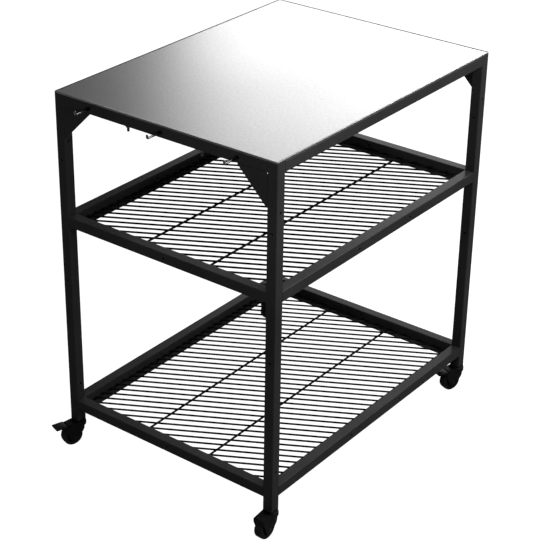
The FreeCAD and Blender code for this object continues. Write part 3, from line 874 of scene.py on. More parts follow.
@dataclass
class Worktop:
    """The stainless worktop with its folded rim, and its studs below the short rails."""

    finishes: Finishes
    sheet: float = 1.2 * MM
    rim_return: float = 22 * MM
    corner: float = 2 * MM
    fold_round: float = 0.7 * MM
    rim_crest: float = 0.8 * MM
    rim_slope: float = 2.8 * MM
    rim_rise: float = 0.8 * MM
    stud_radius: float = 3 * MM
    thread_pitch: float = 1 * MM
    thread_depth: float = 0.6 * MM
    ridge_foot: float = 0.9
    ridge_crest: float = 0.2
    nut_flats: float = 10 * MM
    nut_height: float = 5 * MM
    washer_thickness: float = 1.2 * MM
    washer_radius: float = 6 * MM

    def build_dish(self) -> Shape:
        """Model the shallow space inside the raised rim, with sides that lean out."""
        low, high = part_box("worktop")
        reach = self.rim_crest + self.rim_slope
        half_x, half_y = (high.x - low.x) / 2 - reach, (high.y - low.y) / 2 - reach
        floor_z, top_z = high.z - self.rim_rise, high.z + self.rim_rise
        dish = add_block("dish", (-half_x, -half_y, floor_z), (half_x, half_y, top_z))
        pick(dish, Part.FACE, lambda centre, normal: normal.z > NEARLY)
        bpy.ops.transform.resize(
            value=(1 + 2 * self.rim_slope / half_x, 1 + 2 * self.rim_slope / half_y, 1),
            center_override=(0, 0, top_z))
        leave_edit()
        return dish

    def build_pan(self) -> Shape:
        """Model the worktop: a block, hollowed between its skin and its folded return, with a raised rim."""
        low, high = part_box("worktop")
        pan = add_block("worktop_pan", low, high)
        bevel_edges(pan, self.corner, 5, upright)
        skin = Vector((self.sheet, self.sheet, self.sheet))
        hollow = add_block("fold_space", low + skin, high - skin)
        bevel_edges(hollow, self.corner - self.sheet, 3, upright)
        reach = Vector((self.rim_return, self.rim_return, 0))
        mouth_low = low + reach - ALONG_Z * self.rim_return
        mouth = add_block("mouth", mouth_low, high - reach - ALONG_Z * self.sheet)
        combine(pan, hollow, Cut.REMOVE)
        combine(pan, mouth, Cut.REMOVE)

        def inward(centre: Vector) -> float:
            """How far a point lies inside the worktop's outline."""
            return min(high.x - abs(centre.x), high.y - abs(centre.y))

        bevel_edges(pan, self.fold_round, 3, lambda centre, along: (
            inward(centre) < self.corner and abs(along.z) < 1 - NEARLY
            and min(abs(centre.z - low.z), abs(centre.z - high.z)) < WELD_DISTANCE))
        combine(pan, self.build_dish(), Cut.REMOVE)
        smooth(pan)
        pick(pan, Part.EDGE, lambda centre, along: (
            inward(centre) > (self.fold_round + self.rim_crest) / 2
            and centre.z > high.z - self.rim_rise - WELD_DISTANCE))
        bpy.ops.mesh.mark_sharp()
        leave_edit()
        return self.finishes.dress(pan, "stainless", "frame", "worktop")

    def build_thread(self, low: float, high: float) -> Shape:
        """Model a screw thread about the Z axis, as a ridge swept along its helix round a core.

        Args:
            low: height of its lower end.
            high: height of its upper end.

        Returns:
            The threaded rod.
        """
        root = self.stud_radius - self.thread_depth
        heart = (root + self.thread_depth / 2, 0, low + self.thread_pitch)
        ridge = primitive(
            "ridge", bpy.ops.mesh.primitive_plane_add, size=self.thread_depth, location=heart,
            rotation=(math.radians(90), 0, 0))
        edit_all(ridge)
        bpy.ops.transform.resize(
            value=(1, 1, self.ridge_foot * self.thread_pitch / self.thread_depth), center_override=heart)
        pick(ridge, Part.VERT, lambda centre, normal: centre.x > heart[0])
        bpy.ops.transform.resize(value=(1, 1, self.ridge_crest), center_override=heart)
        bpy.ops.mesh.select_all(action="SELECT")
        bpy.ops.mesh.delete(type="ONLY_FACE")
        leave_edit()
        turns = int((high - low) / self.thread_pitch) - 2
        add_modifier(
            ridge, "SCREW", axis="Z", screw_offset=self.thread_pitch, iterations=turns, steps=20,
            render_steps=20, use_merge_vertices=False)
        close_mesh(ridge)
        nose = self.thread_depth
        outline = [(0, root - nose), (nose, root), (high - low, root)]
        core = turned("core", ALONG_Z * low, ALONG_Z, outline, 24)
        for piece in (ridge, core):
            smooth(piece)
        return join("thread", [core, ridge])

    def build_studs(self) -> List[Shape]:
        """Model one stud with its nut and washer, and copy it to its four places."""
        names = [name for name in frame["nodes"] if name.startswith("worktop_stud")]
        low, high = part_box(names[0])
        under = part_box("top_rail_left")[0].z
        washer_low = under - self.washer_thickness
        edge = self.washer_thickness * 0.2
        thread = self.build_thread(low.z, under)
        shank = turned("shank", ALONG_Z * under, ALONG_Z, [
            (-MM, self.stud_radius), (high.z - under, self.stud_radius)], 24)
        rim, bevel = self.washer_radius, self.washer_radius - edge
        washer = turned("washer", ALONG_Z * washer_low, ALONG_Z, [
            (0, bevel), (edge, rim), (self.washer_thickness - edge, rim), (self.washer_thickness, bevel)])
        for piece in (shank, washer):
            smooth(piece)
        nut_low = ALONG_Z * (washer_low - self.nut_height)
        nut = hexagon_nut(nut_low, ALONG_Z, self.nut_flats, self.nut_height, both_faces=True)
        pattern = join("stud", [thread, shank, washer, nut])
        studs = []
        for name in names:
            stud = copy_placed(pattern, name + "_threaded", shift(Vector((*middle(name).xy, 0))))
            studs.append(self.finishes.dress(stud, "bright_steel", "frame", name))
        discard([pattern])
        return studs

    def build(self) -> List[Shape]:
        """Model the worktop and its studs."""
        return [self.build_pan()] + self.build_studs()


@dataclass
class Hooks:
    """The pegs on the left short side: a bright bent rod, and a dark lock nut at the rail."""

    finishes: Finishes
    rod: float = 2.5 * MM
    bend: float = 4 * MM
    tip_round: float = 0.8 * MM
    washer_radius: float = 4.5 * MM
    washer_thickness: float = 1.2 * MM
    nut_flats: float = 7.6 * MM
    nut_length: float = 4.8 * MM
    sleeve_radius: float = 3.5 * MM
    collar_length: float = 9 * MM

    def build_rod(self, name: str) -> Shape:
        """Model one bent rod by extruding its end, spinning it round the bend and rounding its tip.

        Args:
            name: the hook's CAD node.

        Returns:
            The rod.
        """
        low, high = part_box(name)
        start = Vector((high.x, middle(name).y, middle("top_rail_left").z))
        bend_x = low.x + self.rod + self.bend
        bend_z = start.z + self.bend
        rod = turned(name + "_rod", start, -ALONG_X, [(0, self.rod), (high.x - bend_x, self.rod)], 24)
        pick(rod, Part.FACE, lambda point, normal: normal.x < -NEARLY)
        bpy.ops.mesh.spin(steps=8, angle=math.radians(-90), center=(bend_x, start.y, bend_z), axis=(0, 1, 0))
        bpy.ops.mesh.extrude_region_move(TRANSFORM_OT_translate={"value": (0, 0, high.z - bend_z)})
        leave_edit()
        bevel_edges(rod, self.tip_round, 3, lambda point, along: abs(point.z - high.z) < WELD_DISTANCE)
        close_mesh(rod)
        smooth(rod)
        return rod

    def build_collar(self) -> Shape:
        """Model the washer, lock nut and sleeve at the origin, along -X."""
        nut_end = self.washer_thickness + self.nut_length
        edge = 0.3 * MM
        washer = turned("washer", Vector(), -ALONG_X, [
            (0, self.washer_radius), (self.washer_thickness - edge, self.washer_radius),
            (self.washer_thickness, self.washer_radius - edge)])
        nut_start = -ALONG_X * self.washer_thickness
        nut = hexagon_nut(nut_start, -ALONG_X, self.nut_flats, self.nut_length, both_faces=False)
        sleeve = turned("sleeve", Vector(), -ALONG_X, [
            (nut_end - edge, self.sleeve_radius), (self.collar_length - edge, self.sleeve_radius),
            (self.collar_length, self.sleeve_radius - edge)])
        for piece in (washer, sleeve):
            smooth(piece)
        return join("collar", [washer, nut, sleeve])

    def build(self) -> List[Shape]:
        """Model each hook's rod and collar."""
        pieces = []
        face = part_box("top_rail_left")[0].x
        pattern = self.build_collar()
        for name in sorted(node for node in frame["nodes"] if node.startswith("hook_")):
            centre = Vector((face, middle(name).y, middle("top_rail_left").z))
            pieces.append(self.finishes.dress(self.build_rod(name), "bright_steel", "frame", name))
            collar = copy_placed(pattern, name + "_collar", shift(centre))
            pieces.append(self.finishes.dress(collar, "zinc_steel", "frame"))
        discard([pattern])
        return pieces


@dataclass
class FrameWork:
    """Welds and screws that the tube frame has beyond its CAD nodes."""

    finishes: Finishes
    bead_radius: float = 1.3 * MM
    bead_ripple: float = 0.18 * MM
    bead_pitch: float = 1.3 * MM
    bead_margin: float = 3 * MM
    tack_length: float = 12 * MM
    screw_radius: float = 5.2 * MM
    screw_proud: float = 0.3 * MM
    socket_flats: float = 4 * MM
    socket_depth: float = 1.1 * MM

    def build_bead(self, length: float) -> Shape:
        """Model a rippled weld bead along X, centred on the origin.

        Args:
            length: its length.

        Returns:
            The bead.
        """
        outline = [(-length / 2, self.bead_radius / 2)]
        for index in range(int(length / self.bead_pitch)):
            along = -length / 2 + (index + 0.5) * self.bead_pitch
            outline.append((along, self.bead_radius))
            outline.append((along + self.bead_pitch / 2, self.bead_radius - self.bead_ripple))
        outline.append((length / 2, self.bead_radius / 2))
        bead = turned("bead", Vector(), ALONG_X, outline, 10)
        smooth(bead, 80.0)
        return bead

    def build_rail_beads(self) -> Shape:
        """Run a bead under each end of each rail, where it meets its leg."""
        low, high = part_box("leg_front_left")
        places = []
        for name in sorted(node for node in frame["nodes"] if "rail_" in node):
            centre = middle(name)
            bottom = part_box(name)[0].z
            for sign in (-1, 1):
                if name.endswith(("front", "back")):
                    places.append(shift(Vector((sign * high.x, centre.y, bottom))) @ spin_about("Z", 90.0))
                else:
                    places.append(shift(Vector((centre.x, sign * high.y, bottom))))
        bead = self.build_bead(high.x - low.x - 2 * self.bead_margin)
        return self.finishes.dress(repeat(bead, "rail_weld_beads", places), "coated_frame", "frame")

    def build_bracket_tacks(self) -> Shape:
        """Lay two tack welds behind each corner bracket, along its leg and along its rail."""
        places = []
        for corner in Corner:
            low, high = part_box("bracket_" + corner.value)
            inner_x = high.x if low.x < 0 else low.x
            leg_y = high.y if high.y > 0 else low.y
            mid = (low + high) / 2
            places.append(shift(Vector((inner_x, leg_y, mid.z))) @ spin_about("Y", 90.0))
            places.append(shift(Vector((inner_x, mid.y, high.z))) @ spin_about("Z", 90.0))
        tacks = repeat(self.build_bead(self.tack_length), "bracket_tacks", places)
        return self.finishes.dress(tacks, "coated_frame", "frame")

    def build_screws(self) -> Shape:
        """Set a low socket screw on each leg's outer end face, at each shelf's long rails."""
        proud = self.screw_proud
        socket_corner = self.socket_flats / 2 / math.cos(math.pi / 6)
        head = turned("head", Vector(), ALONG_X, [
            (-MM, self.screw_radius), (proud * 0.4, self.screw_radius), (proud, self.screw_radius - proud)])
        outline = [(proud - self.socket_depth, socket_corner), (2 * proud, socket_corner)]
        socket = turned("socket", Vector(), ALONG_X, outline, 6)
        combine(head, socket, Cut.REMOVE)
        smooth(head)
        places = []
        for corner in Corner:
            low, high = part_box("leg_" + corner.value)
            outer = low.x if low.x < 0 else high.x
            turn = spin_about("Z", 180.0 if outer < 0 else 0.0)
            for shelf in Shelf:
                height = middle(shelf.value + "_shelf_rail_left").z
                places.append(shift(Vector((outer, (low.y + high.y) / 2, height))) @ turn)
        return self.finishes.dress(repeat(head, "shelf_screws", places), "coated_frame", "frame")

    def build(self) -> List[Shape]:
        """Model the welds and the screws."""
        return [self.build_rail_beads(), self.build_bracket_tacks(), self.build_screws()]


@dataclass
class ShelfGrids:
    """Weld nuggets where the rods of each shelf grid cross."""

    finishes: Finishes
    pitch: float = 25 * MM
    angle: float = 120.0
    rod: float = 5 * MM
    top_rod: float = 4.5 * MM
    support_spacing: float = 177 * MM
    nugget: float = 2.6 * MM
    nugget_height: float = 1.2 * MM

    def crossings(self, half_x: float, half_y: float) -> List[Tuple[float, float]]:
        """Find where the slanting rods cross the supports and the border.

        Args:
            half_x: half the border's length between its rods' axes.
            half_y: half the border's depth between its rods' axes.

        Returns:
            The crossings' X and Y.
        """
        lean = 1 / math.tan(math.radians(self.angle))
        count = int(2 * (half_x + half_y) / self.pitch)
        found = []
        for index in range(-count, count):
            foot = (index + 0.5) * self.pitch
            for y in (-half_y, -self.support_spacing / 2, self.support_spacing / 2, half_y):
                x = foot + lean * y
                if abs(x) < half_x - self.rod:
                    found.append((x, y))
            for x in (-half_x, half_x):
                y = (x - foot) / lean
                if abs(y) < half_y - self.rod:
                    found.append((x, y))
        return found

    def build_nugget(self) -> Shape:
        """Model one nugget: a small round, flattened."""
        nugget = primitive(
            "nugget", bpy.ops.mesh.primitive_uv_sphere_add, segments=8, ring_count=5, radius=self.nugget)
        edit_all(nugget)
        bpy.ops.transform.resize(value=(1, 1, self.nugget_height / self.nugget), center_override=(0, 0, 0))
        leave_edit()
        smooth(nugget, 80.0)
        return nugget

    def build(self) -> List[Shape]:
        """Set a nugget at each crossing of each grid."""
        pieces = []
        for shelf in Shelf:
            name = shelf.value + "_shelf_grid"
            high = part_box(name)[1]
            spots = self.crossings(high.x - self.rod / 2, high.y - self.rod / 2)
            places = [shift(Vector((x, y, high.z - self.top_rod))) for x, y in spots]
            nuggets = repeat(self.build_nugget(), name + "_nuggets", places)
            pieces.append(self.finishes.dress(nuggets, "coated_rod", "frame"))
        return pieces


@dataclass
class Casters:
    """Four swivel casters, two with a brake: modelled once about the swivel axis, then copied."""

    finishes: Finishes
    trail: float = 20 * MM
    wheel: float = 25 * MM
    tyre_half: float = 10.5 * MM
    tread_crown: float = 0.4 * MM
    tread_round: float = 2.5 * MM
    hub: float = 17.5 * MM
    hub_rim: float = 2.5 * MM
    hub_recess: float = 5 * MM
    boss: float = 7 * MM
    boss_overhang: float = 2.2 * MM
    spokes: int = 6
    spoke_width: float = 1.8 * MM
    axle: float = 3 * MM
    axle_head: float = 4.5 * MM
    axle_head_height: float = 1 * MM
    running_fit: float = 0.05 * MM
    fork_half: float = 15.5 * MM
    fork_inside: float = 13 * MM
    fork_top: float = 58.2 * MM
    rear: float = 41.5 * MM
    rear_corner: float = 2.5 * MM
    crown_radius: float = 18 * MM
    crown_under: float = 53.7 * MM
    skirt_low: float = 50.2 * MM
    taper_low: float = 46.2 * MM
    nose: float = 2 * MM
    nose_drop: float = 9 * MM
    hood_start: float = 12 * MM
    hood_corner: Tuple[float, float, float] = (37 * MM, 49.5 * MM, 4.5 * MM)
    hood_flat: float = 14 * MM
    hood_slope: float = 13.0
    space_front: float = 13.5 * MM
    space_drop: float = 16 * MM
    braked_end: float = 33 * MM
    plain_end: Tuple[float, float] = (38 * MM, 45 * MM)
    axle_boss: float = 11 * MM
    axle_seat: Outline = ((-0.4 * MM, 5.6 * MM), (MM, 6 * MM))
    fork_round: float = 0.7 * MM
    braked_pad: Tuple[Tuple[float, float], float, float] = ((21 * MM, 33 * MM), 11.5 * MM, 57.8 * MM)
    plain_pad: Tuple[Tuple[float, float], float, float] = ((29 * MM, 39.5 * MM), 9 * MM, 55.6 * MM)
    end_grooves: Outline = ((39.4 * MM, 45 * MM), (39.2 * MM, 52.6 * MM))
    groove_half: float = 11 * MM
    kingpin: float = 4 * MM
    pin_head: float = 7 * MM
    head_gap: float = 0.3 * MM
    race_radius: float = 17 * MM
    race_rise: float = 3.3 * MM
    race_thick: float = 3 * MM
    stem: float = 5 * MM
    stem_length: float = 20 * MM
    pivot_back: float = 37 * MM
    pivot_up: float = 50.5 * MM
    pedal_length: float = 28 * MM
    pedal_rise: float = 4.5 * MM
    pedal_half: float = 14.25 * MM
    pedal_thick: float = 3 * MM
    pedal_corner: float = 2 * MM
    pedal_fit: float = 0.3 * MM
    pedal_pin: float = 2 * MM
    knuckle: float = 3 * MM
    pedal_throw: float = 12.0
    rib_place: float = 7 * MM
    rib_end: float = 25 * MM
    rib_thick: float = 1.8 * MM
    shoe_half: Tuple[float, float] = (2 * MM, 8 * MM)
    shoe_gap: float = 0.45 * MM

    def across(self, name: str, back: float, up: float, radius: float, half: float, sides: int = 48) -> Shape:
        """Model a bar across the caster, at a place of its side view, by its radius and half its length."""
        return turned(name, Vector((back, 0, up)), ALONG_Y, [(-half, radius), (half, radius)], sides)

    def hull(self, name: str, bars: Sequence[Shape]) -> Shape:
        """Wrap a skin round bars.

        Args:
            name: the skin's name.
            bars: what it goes round.

        Returns:
            The skin, as one closed shape.
        """
        shape = join(name, bars)
        edit_all(shape)
        bpy.ops.mesh.convex_hull(delete_unused=True, join_triangles=True)
        bpy.ops.mesh.select_all(action="SELECT")
        bpy.ops.mesh.dissolve_limited(angle_limit=math.radians(1.0))
        leave_edit()
        return shape

    def wheel_space(self, braked: bool) -> Shape:
        """Model the space between the cheeks.

        Args:
            braked: whether it is open behind for a pedal, or else closed by the hood's end.

        Returns:
            The space.
        """
        skirt = self.fork_top - self.space_drop
        ahead, behind = -2 * self.crown_radius, 2 * self.rear
        end, mouth = (self.braked_end, self.fork_top + MM) if braked else self.plain_end
        drop = (end - self.hood_flat) * math.tan(math.radians(self.hood_slope))
        outline = [
            (ahead, -MM), (behind, -MM), (behind, mouth), (end, mouth), (end, self.crown_under - drop),
            (self.hood_flat, self.crown_under), (-self.space_front, self.crown_under),
            (-self.space_front, skirt), (ahead, skirt),
        ]
        points = [Vector((back, -self.fork_inside, up)) for back, up in outline]
        return outlined("wheel_space", points, ALONG_Y * 2 * self.fork_inside)

    def build_fork(self, braked: bool) -> Shape:
        """Model the moulded fork: tapered cheeks under a round crown, hollowed for the wheel and bored.

        Args:
            braked: whether its cheeks carry a pedal.

        Returns:
            The fork.
        """
        nose, corner = self.nose, self.rear_corner
        front = nose - self.fork_half
        side = [
            (self.trail, self.wheel, self.axle_boss), self.hood_corner,
            (self.hood_start, self.fork_top - nose, nose), (front, self.fork_top - nose, nose),
            (front, self.fork_top - self.nose_drop, nose),
        ]
        fork = self.hull("fork", [self.across("bar", x, z, r, self.fork_half) for x, z, r in side])
        rear, sideways = self.rear - corner, self.fork_half - corner
        plan = [(0.0, 0.0, self.fork_half), (rear, -sideways, corner), (rear, sideways, corner)]
        over = self.fork_top + nose
        posts = [turned("post", Vector((x, y, 0)), ALONG_Z, [(0, r), (over, r)], 64) for x, y, r in plan]
        combine(fork, self.hull("plan", posts), Cut.OVERLAP)
        crown = turned("crown", Vector(), ALONG_Z, [
            (self.taper_low, self.fork_half), (self.skirt_low, self.crown_radius),
            (self.fork_top - MM, self.crown_radius), (self.fork_top, self.crown_radius - MM)], 64)
        combine(fork, crown, Cut.ADD)
        (start, end), half, top = self.braked_pad if braked else self.plain_pad
        combine(fork, add_block("pad", (start, -half, self.skirt_low), (end, half, top)), Cut.ADD)
        through = self.fork_top + self.wheel
        pin_bore, axle_bore = self.kingpin + self.running_fit, self.axle + self.running_fit
        tools = [
            self.wheel_space(braked),
            turned("bore", Vector(), ALONG_Z, [(0, pin_bore), (through, pin_bore)]),
            self.across("bore", self.trail, self.wheel, axle_bore, through),
        ]
        if braked:
            pivot_bore = self.pedal_pin + self.running_fit
            tools.append(self.across("bore", self.pivot_back, self.pivot_up, pivot_bore, through, 24))
        for sign in (-1, 1):
            face = Vector((self.trail, sign * self.fork_half, self.wheel))
            tools.append(turned("seat", face, ALONG_Y * sign, self.axle_seat))
        for tool in tools:
            combine(fork, tool, Cut.REMOVE)
        soften(fork, self.fork_round, 3, 40.0)
        for back, up in () if braked else self.end_grooves:
            low, high = (back, -self.groove_half, up), (self.rear + MM, self.groove_half, up + MM)
            combine(fork, add_block("groove", low, high), Cut.REMOVE)
        smooth(fork, 40.0)
        return fork

    def build_axle(self) -> Shape:
        """Model the axle pin with a low dimpled head at each end."""
        top = self.fork_half + self.axle_head_height
        head = [
            (top - 0.4 * MM, 1.2 * MM), (top, 2.0 * MM), (top, self.axle_head - MM),
            (top - 0.5 * MM, self.axle_head - 0.2 * MM), (top - 0.9 * MM, self.axle_head),
            (self.fork_half - 0.4 * MM, self.axle_head), (self.fork_half - 0.4 * MM, self.axle),
        ]
        outline = [(-along, radius) for along, radius in head] + list(reversed(head))
        axle = turned("axle", Vector((self.trail, 0, self.wheel)), ALONG_Y, outline, 40)
        smooth(axle)
        return axle

    def build_tyre(self) -> Shape:
        """Model the tyre: rounded shoulders, a crowned tread and a groove in each side wall."""
        half, wheel, corner = self.tyre_half, self.wheel, self.tread_round
        shoulder = wheel - self.tread_crown
        wall = [
            (half, self.hub), (half, self.hub + 1.2 * MM), (half - 0.5 * MM, self.hub + 1.5 * MM),
            (half - 0.5 * MM, self.hub + 2.2 * MM), (half, self.hub + 2.5 * MM),
        ]
        for step in range(6):
            angle = math.radians(90 * step / 5)
            wall.append((half - corner * (1 - math.cos(angle)), shoulder - corner * (1 - math.sin(angle))))
        wall += [(share * (half - corner), wheel - self.tread_crown * share ** 2) for share in (0.66, 0.33)]
        outline = wall + [(0.0, wheel)] + [(-along, radius) for along, radius in reversed(wall)]
        tyre = turned("tyre", Vector((self.trail, 0, self.wheel)), ALONG_Y, outline, 72, ring=True)
        smooth(tyre)
        return tyre

    def build_hub(self) -> Shape:
        """Model the hub: a recessed web with ribs on both sides, and a boss round the axle."""
        half = self.tyre_half
        web = half - self.hub_recess
        rim = self.hub - self.hub_rim
        bore = self.axle + self.running_fit
        edge = 0.3 * MM
        side = [
            (half + self.boss_overhang, bore), (half + self.boss_overhang, self.boss - edge),
            (half + self.boss_overhang - edge, self.boss), (web + edge, self.boss), (web, self.boss + edge),
            (web, rim - edge), (web + edge, rim), (half - edge, rim), (half, rim + edge), (half, self.hub),
        ]
        outline = side + [(-along, radius) for along, radius in reversed(side)]
        centre = Vector((self.trail, 0, self.wheel))
        hub = turned("hub", centre, ALONG_Y, outline, 64, ring=True)
        smooth(hub)
        spoke = add_block(
            "spoke", (self.boss - MM, -half + MM, -self.spoke_width / 2),
            (rim + 0.6 * MM, half - MM, self.spoke_width / 2))
        soften(spoke, 0.35 * MM)
        turns = [360.0 * index / self.spokes for index in range(self.spokes)]
        places = [shift(centre) @ spin_about("Y", turn) for turn in turns]
        return join("hub", [hub, repeat(spoke, "spokes", places)])

    def build_pedal(self) -> Shape:
        """Model the brake lever about its pivot: plate with a lip and ribs, neck, pin and shoe."""
        inside, corner = self.fork_inside - self.pedal_fit, self.pedal_corner
        low, end = self.pedal_rise, self.pedal_length
        top = low + self.pedal_thick
        plate = add_block("plate", (-MM, -self.pedal_half, low), (end, self.pedal_half, top))
        bevel_edges(plate, corner, 4, upright)
        pieces = [
            plate,
            add_block("neck", (-MM, -inside, 0), (self.knuckle, inside, low + MM)),
            self.across("knuckle", 0, 0, self.knuckle, inside),
            self.across("trunnion", 0, 0, self.pedal_pin, self.fork_half, 24),
            self.across("lip", end - corner, top - corner, corner, self.pedal_half - corner, 24),
        ]
        for piece in pieces:
            soften(piece, 0.4 * MM)
        outline = ((MM, MM), (self.rib_end, low - MM), (self.rib_end, low + MM), (MM, low + MM))
        for sign in (-1, 1):
            side = sign * self.rib_place - self.rib_thick / 2
            corners = [Vector((back, side, up)) for back, up in outline]
            rib = outlined("rib", corners, ALONG_Y * self.rib_thick)
            soften(rib, 0.3 * MM)
            pieces.append(rib)
        back, down = self.trail - self.pivot_back, self.wheel - self.pivot_up
        reach = math.hypot(back, down) - self.wheel - self.shoe_gap
        half_x, half_y = self.shoe_half
        shoe = add_block("shoe", (-half_x, -half_y, -reach), (half_x, half_y, 0))
        soften(shoe, 0.4 * MM)
        shoe.data.transform(spin_about("Y", math.degrees(math.atan2(-back, -down)) - self.pedal_throw))
        pedal = join("pedal", pieces + [shoe])
        pedal.data.transform(shift(Vector((self.pivot_back, 0, self.pivot_up))))
        return pedal

    def build_stem(self) -> Shape:
        """Model the stem, its pressed race and the kingpin with its domed head."""
        edge = 0.5 * MM
        race, pin, head = self.race_radius, self.kingpin, self.pin_head
        race_top = self.fork_top + self.race_rise
        race_low = race_top - self.race_thick
        stem_top = race_top + self.stem_length
        head_top = self.crown_under - self.head_gap
        outline = [
            (stem_top, self.stem - edge), (stem_top - edge, self.stem), (race_top, self.stem),
            (race_top, race - edge), (race_top - edge, race), (race_low + edge, race),
            (race_low, race - edge), (race_low, pin), (head_top, pin), (head_top, head - edge),
            (head_top - edge, head), (head_top - 1.5 * MM, head - 0.4 * MM), (head_top - 2.5 * MM, pin + edge),
        ]
        stem = turned("stem", Vector(), ALONG_Z, outline, 48)
        smooth(stem)
        return stem

    def place(self, corner: Corner) -> Matrix:
        """Find how a piece gets from the pattern to its corner, turned as the caster stands.

        Args:
            corner: the corner.

        Returns:
            The matrix.
        """
        spots = {joint["name"]: Vector(joint["pos_m"]) for joint in frame["joints"]}
        swivel = spots["swivel_" + corner.value]
        behind = spots["roll_" + corner.value] - swivel
        angle = math.degrees(math.atan2(behind.y, behind.x))
        return shift(Vector((swivel.x, swivel.y, 0))) @ spin_about("Z", angle)

    def build(self) -> List[Shape]:
        """Model the patterns and copy them to the corners that have them."""
        braked = [corner for corner in Corner if "caster_pedal_" + corner.value in frame["nodes"]]
        plain = [corner for corner in Corner if corner not in braked]
        patterns = (
            ("fork", self.build_fork(True), "moulding", "caster_", braked),
            ("fork", self.build_fork(False), "moulding", "caster_", plain),
            ("axle", self.build_axle(), "zinc_steel", "caster_", Corner),
            ("tyre", self.build_tyre(), "tyre", "wheel_", Corner),
            ("hub", self.build_hub(), "moulding", "wheel_", Corner),
            ("pedal", self.build_pedal(), "moulding", "brake_", braked),
            ("stem", self.build_stem(), "zinc_steel", "", Corner),
        )
        pieces = []
        for kind, pattern, slot, prefix, corners in patterns:
            for corner in corners:
                body = prefix + corner.value if prefix else "frame"
                piece = copy_placed(pattern, "%s_%s" % (kind, corner.value), self.place(corner))
                pieces.append(self.finishes.dress(piece, slot, body, "caster_%s_%s" % (kind, corner.value)))
            discard([pattern])
        return pieces


class OvenTable:
    """The whole table: builds its sub-assemblies in order."""

    def __init__(self) -> None:
        """Build the finishes."""
        self.finishes = Finishes()

    def build(self) -> None:
        """Dress the nodes, model the fine pieces and report them."""
        self.finishes.dress_nodes()
        for kind in (Worktop, Hooks, FrameWork, ShelfGrids, Casters):
            pieces = kind(self.finishes).build()
            log.info("%s: %s", kind.__name__, ", ".join(piece.name for piece in pieces))


def hang(name: str, data: bpy.types.ID, place: Vector, way: Vector) -> Shape:
    """Set up a light.

    Args:
        name: the light's name.
        data: its kind and settings.
        place: where it hangs.
        way: the direction that it faces.

    Returns:
        The light.
    """
    light = bpy.data.objects.new(name, data)
    light.location = place
    light.rotation_euler = way.to_track_quat("-Z", "Y").to_euler()
    bpy.context.scene.collection.objects.link(light)
    return light


@dataclass(frozen=True)
class SoftBox:
    """A soft box: its glow is in watts for each square metre."""

    name: str
    place: Tuple[float, float, float]
    aim: Tuple[float, float, float]
    size: Tuple[float, float]
    glow: float
    lights: bool = True
    mirrored: bool = True

    def add(self) -> None:
        """Hang the box, out of the camera's sight."""
        data = bpy.data.lights.new(self.name, "AREA")
        data.shape = "RECTANGLE"
        data.size, data.size_y = self.size
        data.energy = self.glow * data.size * data.size_y
        light = hang(self.name, data, Vector(self.place), Vector(self.aim) - Vector(self.place))
        light.visible_camera = False
        light.visible_diffuse = self.lights
        light.visible_glossy = self.mirrored


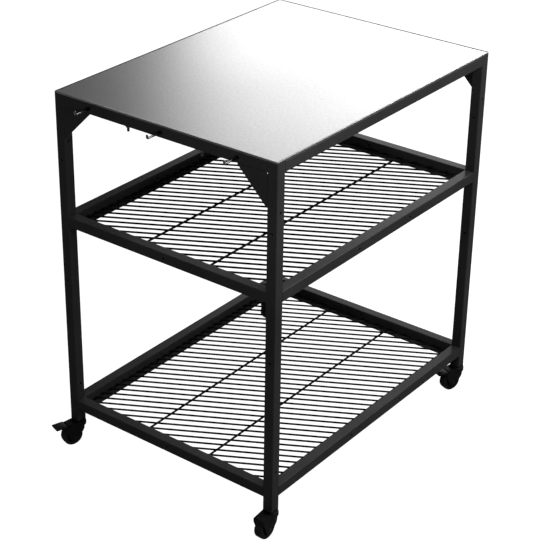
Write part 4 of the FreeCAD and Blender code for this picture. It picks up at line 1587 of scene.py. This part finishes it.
@dataclass
class Studio:
    """Pale floor, soft light, and the camera at the photograph's view."""

    camera_place: Tuple[float, float, float] = (-2.63589, -1.96628, 2.14316)
    camera_turn: Tuple[float, float, float] = (62.749, -0.469, -51.988)
    lens: float = 105.27
    camera_shift: Tuple[float, float] = (0.037, -0.037)
    world_strength: float = 0.1
    sun_strength: float = 4.3
    sun_angle: float = 80.0
    floor_tone: float = 0.08
    floor_glow: float = 0.97
    floor_light: float = 0.15
    sun_way: Tuple[float, float, float] = (-0.25, 0.5, -1.0)
    boxes: Tuple[SoftBox, ...] = (
        SoftBox("front_strip", (-0.4, -0.95, 1.4), (-0.4, 0, 0.9), (4.0, 0.4), glow=80.0, mirrored=False),
        SoftBox("hook_strip", (0.5, -0.95, 1.4), (-0.4, 0, 0.9), (2.2, 0.4), glow=55.0, lights=False),
        SoftBox("far_box", (5.4, 1.75, 2.5), (-1.0, 1.75, 2.5), (6.2, 3.0), glow=12.0),
    )

    def add_camera(self) -> None:
        """Add the camera."""
        data = bpy.data.cameras.new("photo_camera")
        data.lens = self.lens
        data.sensor_width = 36.0
        data.shift_x, data.shift_y = self.camera_shift
        camera = bpy.data.objects.new("photo_camera", data)
        camera.location = self.camera_place
        camera.rotation_euler = [math.radians(angle) for angle in self.camera_turn]
        bpy.context.scene.collection.objects.link(camera)
        bpy.context.scene.camera = camera

    def add_floor(self) -> None:
        """Add a wide pale floor, lit from within so that it stays white round the table."""
        floor = primitive("studio_floor", bpy.ops.mesh.primitive_plane_add, size=60)
        sheet = Dresser("floor_paper")
        sheet.wear(
            Base_Color=(*grey(self.floor_tone), 1.0), Roughness=0.9, Specular_IOR_Level=0.0,
            Emission_Color=(1.0, 1.0, 1.0, 1.0),
            Emission_Strength=sheet.seen_or_cast(self.floor_glow, self.floor_light))
        floor.data.materials.append(sheet.material)

    def add_sun(self) -> None:
        """Add the wide soft light from above, which no glossy surface shows."""
        data = bpy.data.lights.new("wide_light", "SUN")
        data.energy = self.sun_strength
        data.angle = math.radians(self.sun_angle)
        hang("wide_light", data, Vector(), Vector(self.sun_way)).visible_glossy = False

    def add_world(self) -> None:
        """Add a plain surround: white to look at, dim as a light."""
        world = bpy.data.worlds.new("studio")
        world.use_nodes = True
        sheet = NodeSheet(world.node_tree)
        sky = world.node_tree.nodes["Background"]
        sky.inputs["Color"].default_value = (1.0, 1.0, 1.0, 1.0)
        sheet.feed(sheet.seen_or_cast(1.0, self.world_strength), sky.inputs["Strength"])
        bpy.context.scene.world = world

    def build(self) -> None:
        """Set up the studio."""
        self.add_camera()
        self.add_floor()
        self.add_world()
        self.add_sun()
        for box in self.boxes:
            box.add()
        bpy.context.scene.view_settings.view_transform = "Standard"


def main() -> None:
    """Build the table and its studio."""
    logging.basicConfig(level=logging.INFO, format="%(name)s: %(message)s")
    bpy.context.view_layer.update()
    OvenTable().build()
    Studio().build()


if __name__ == "__main__":
    main()
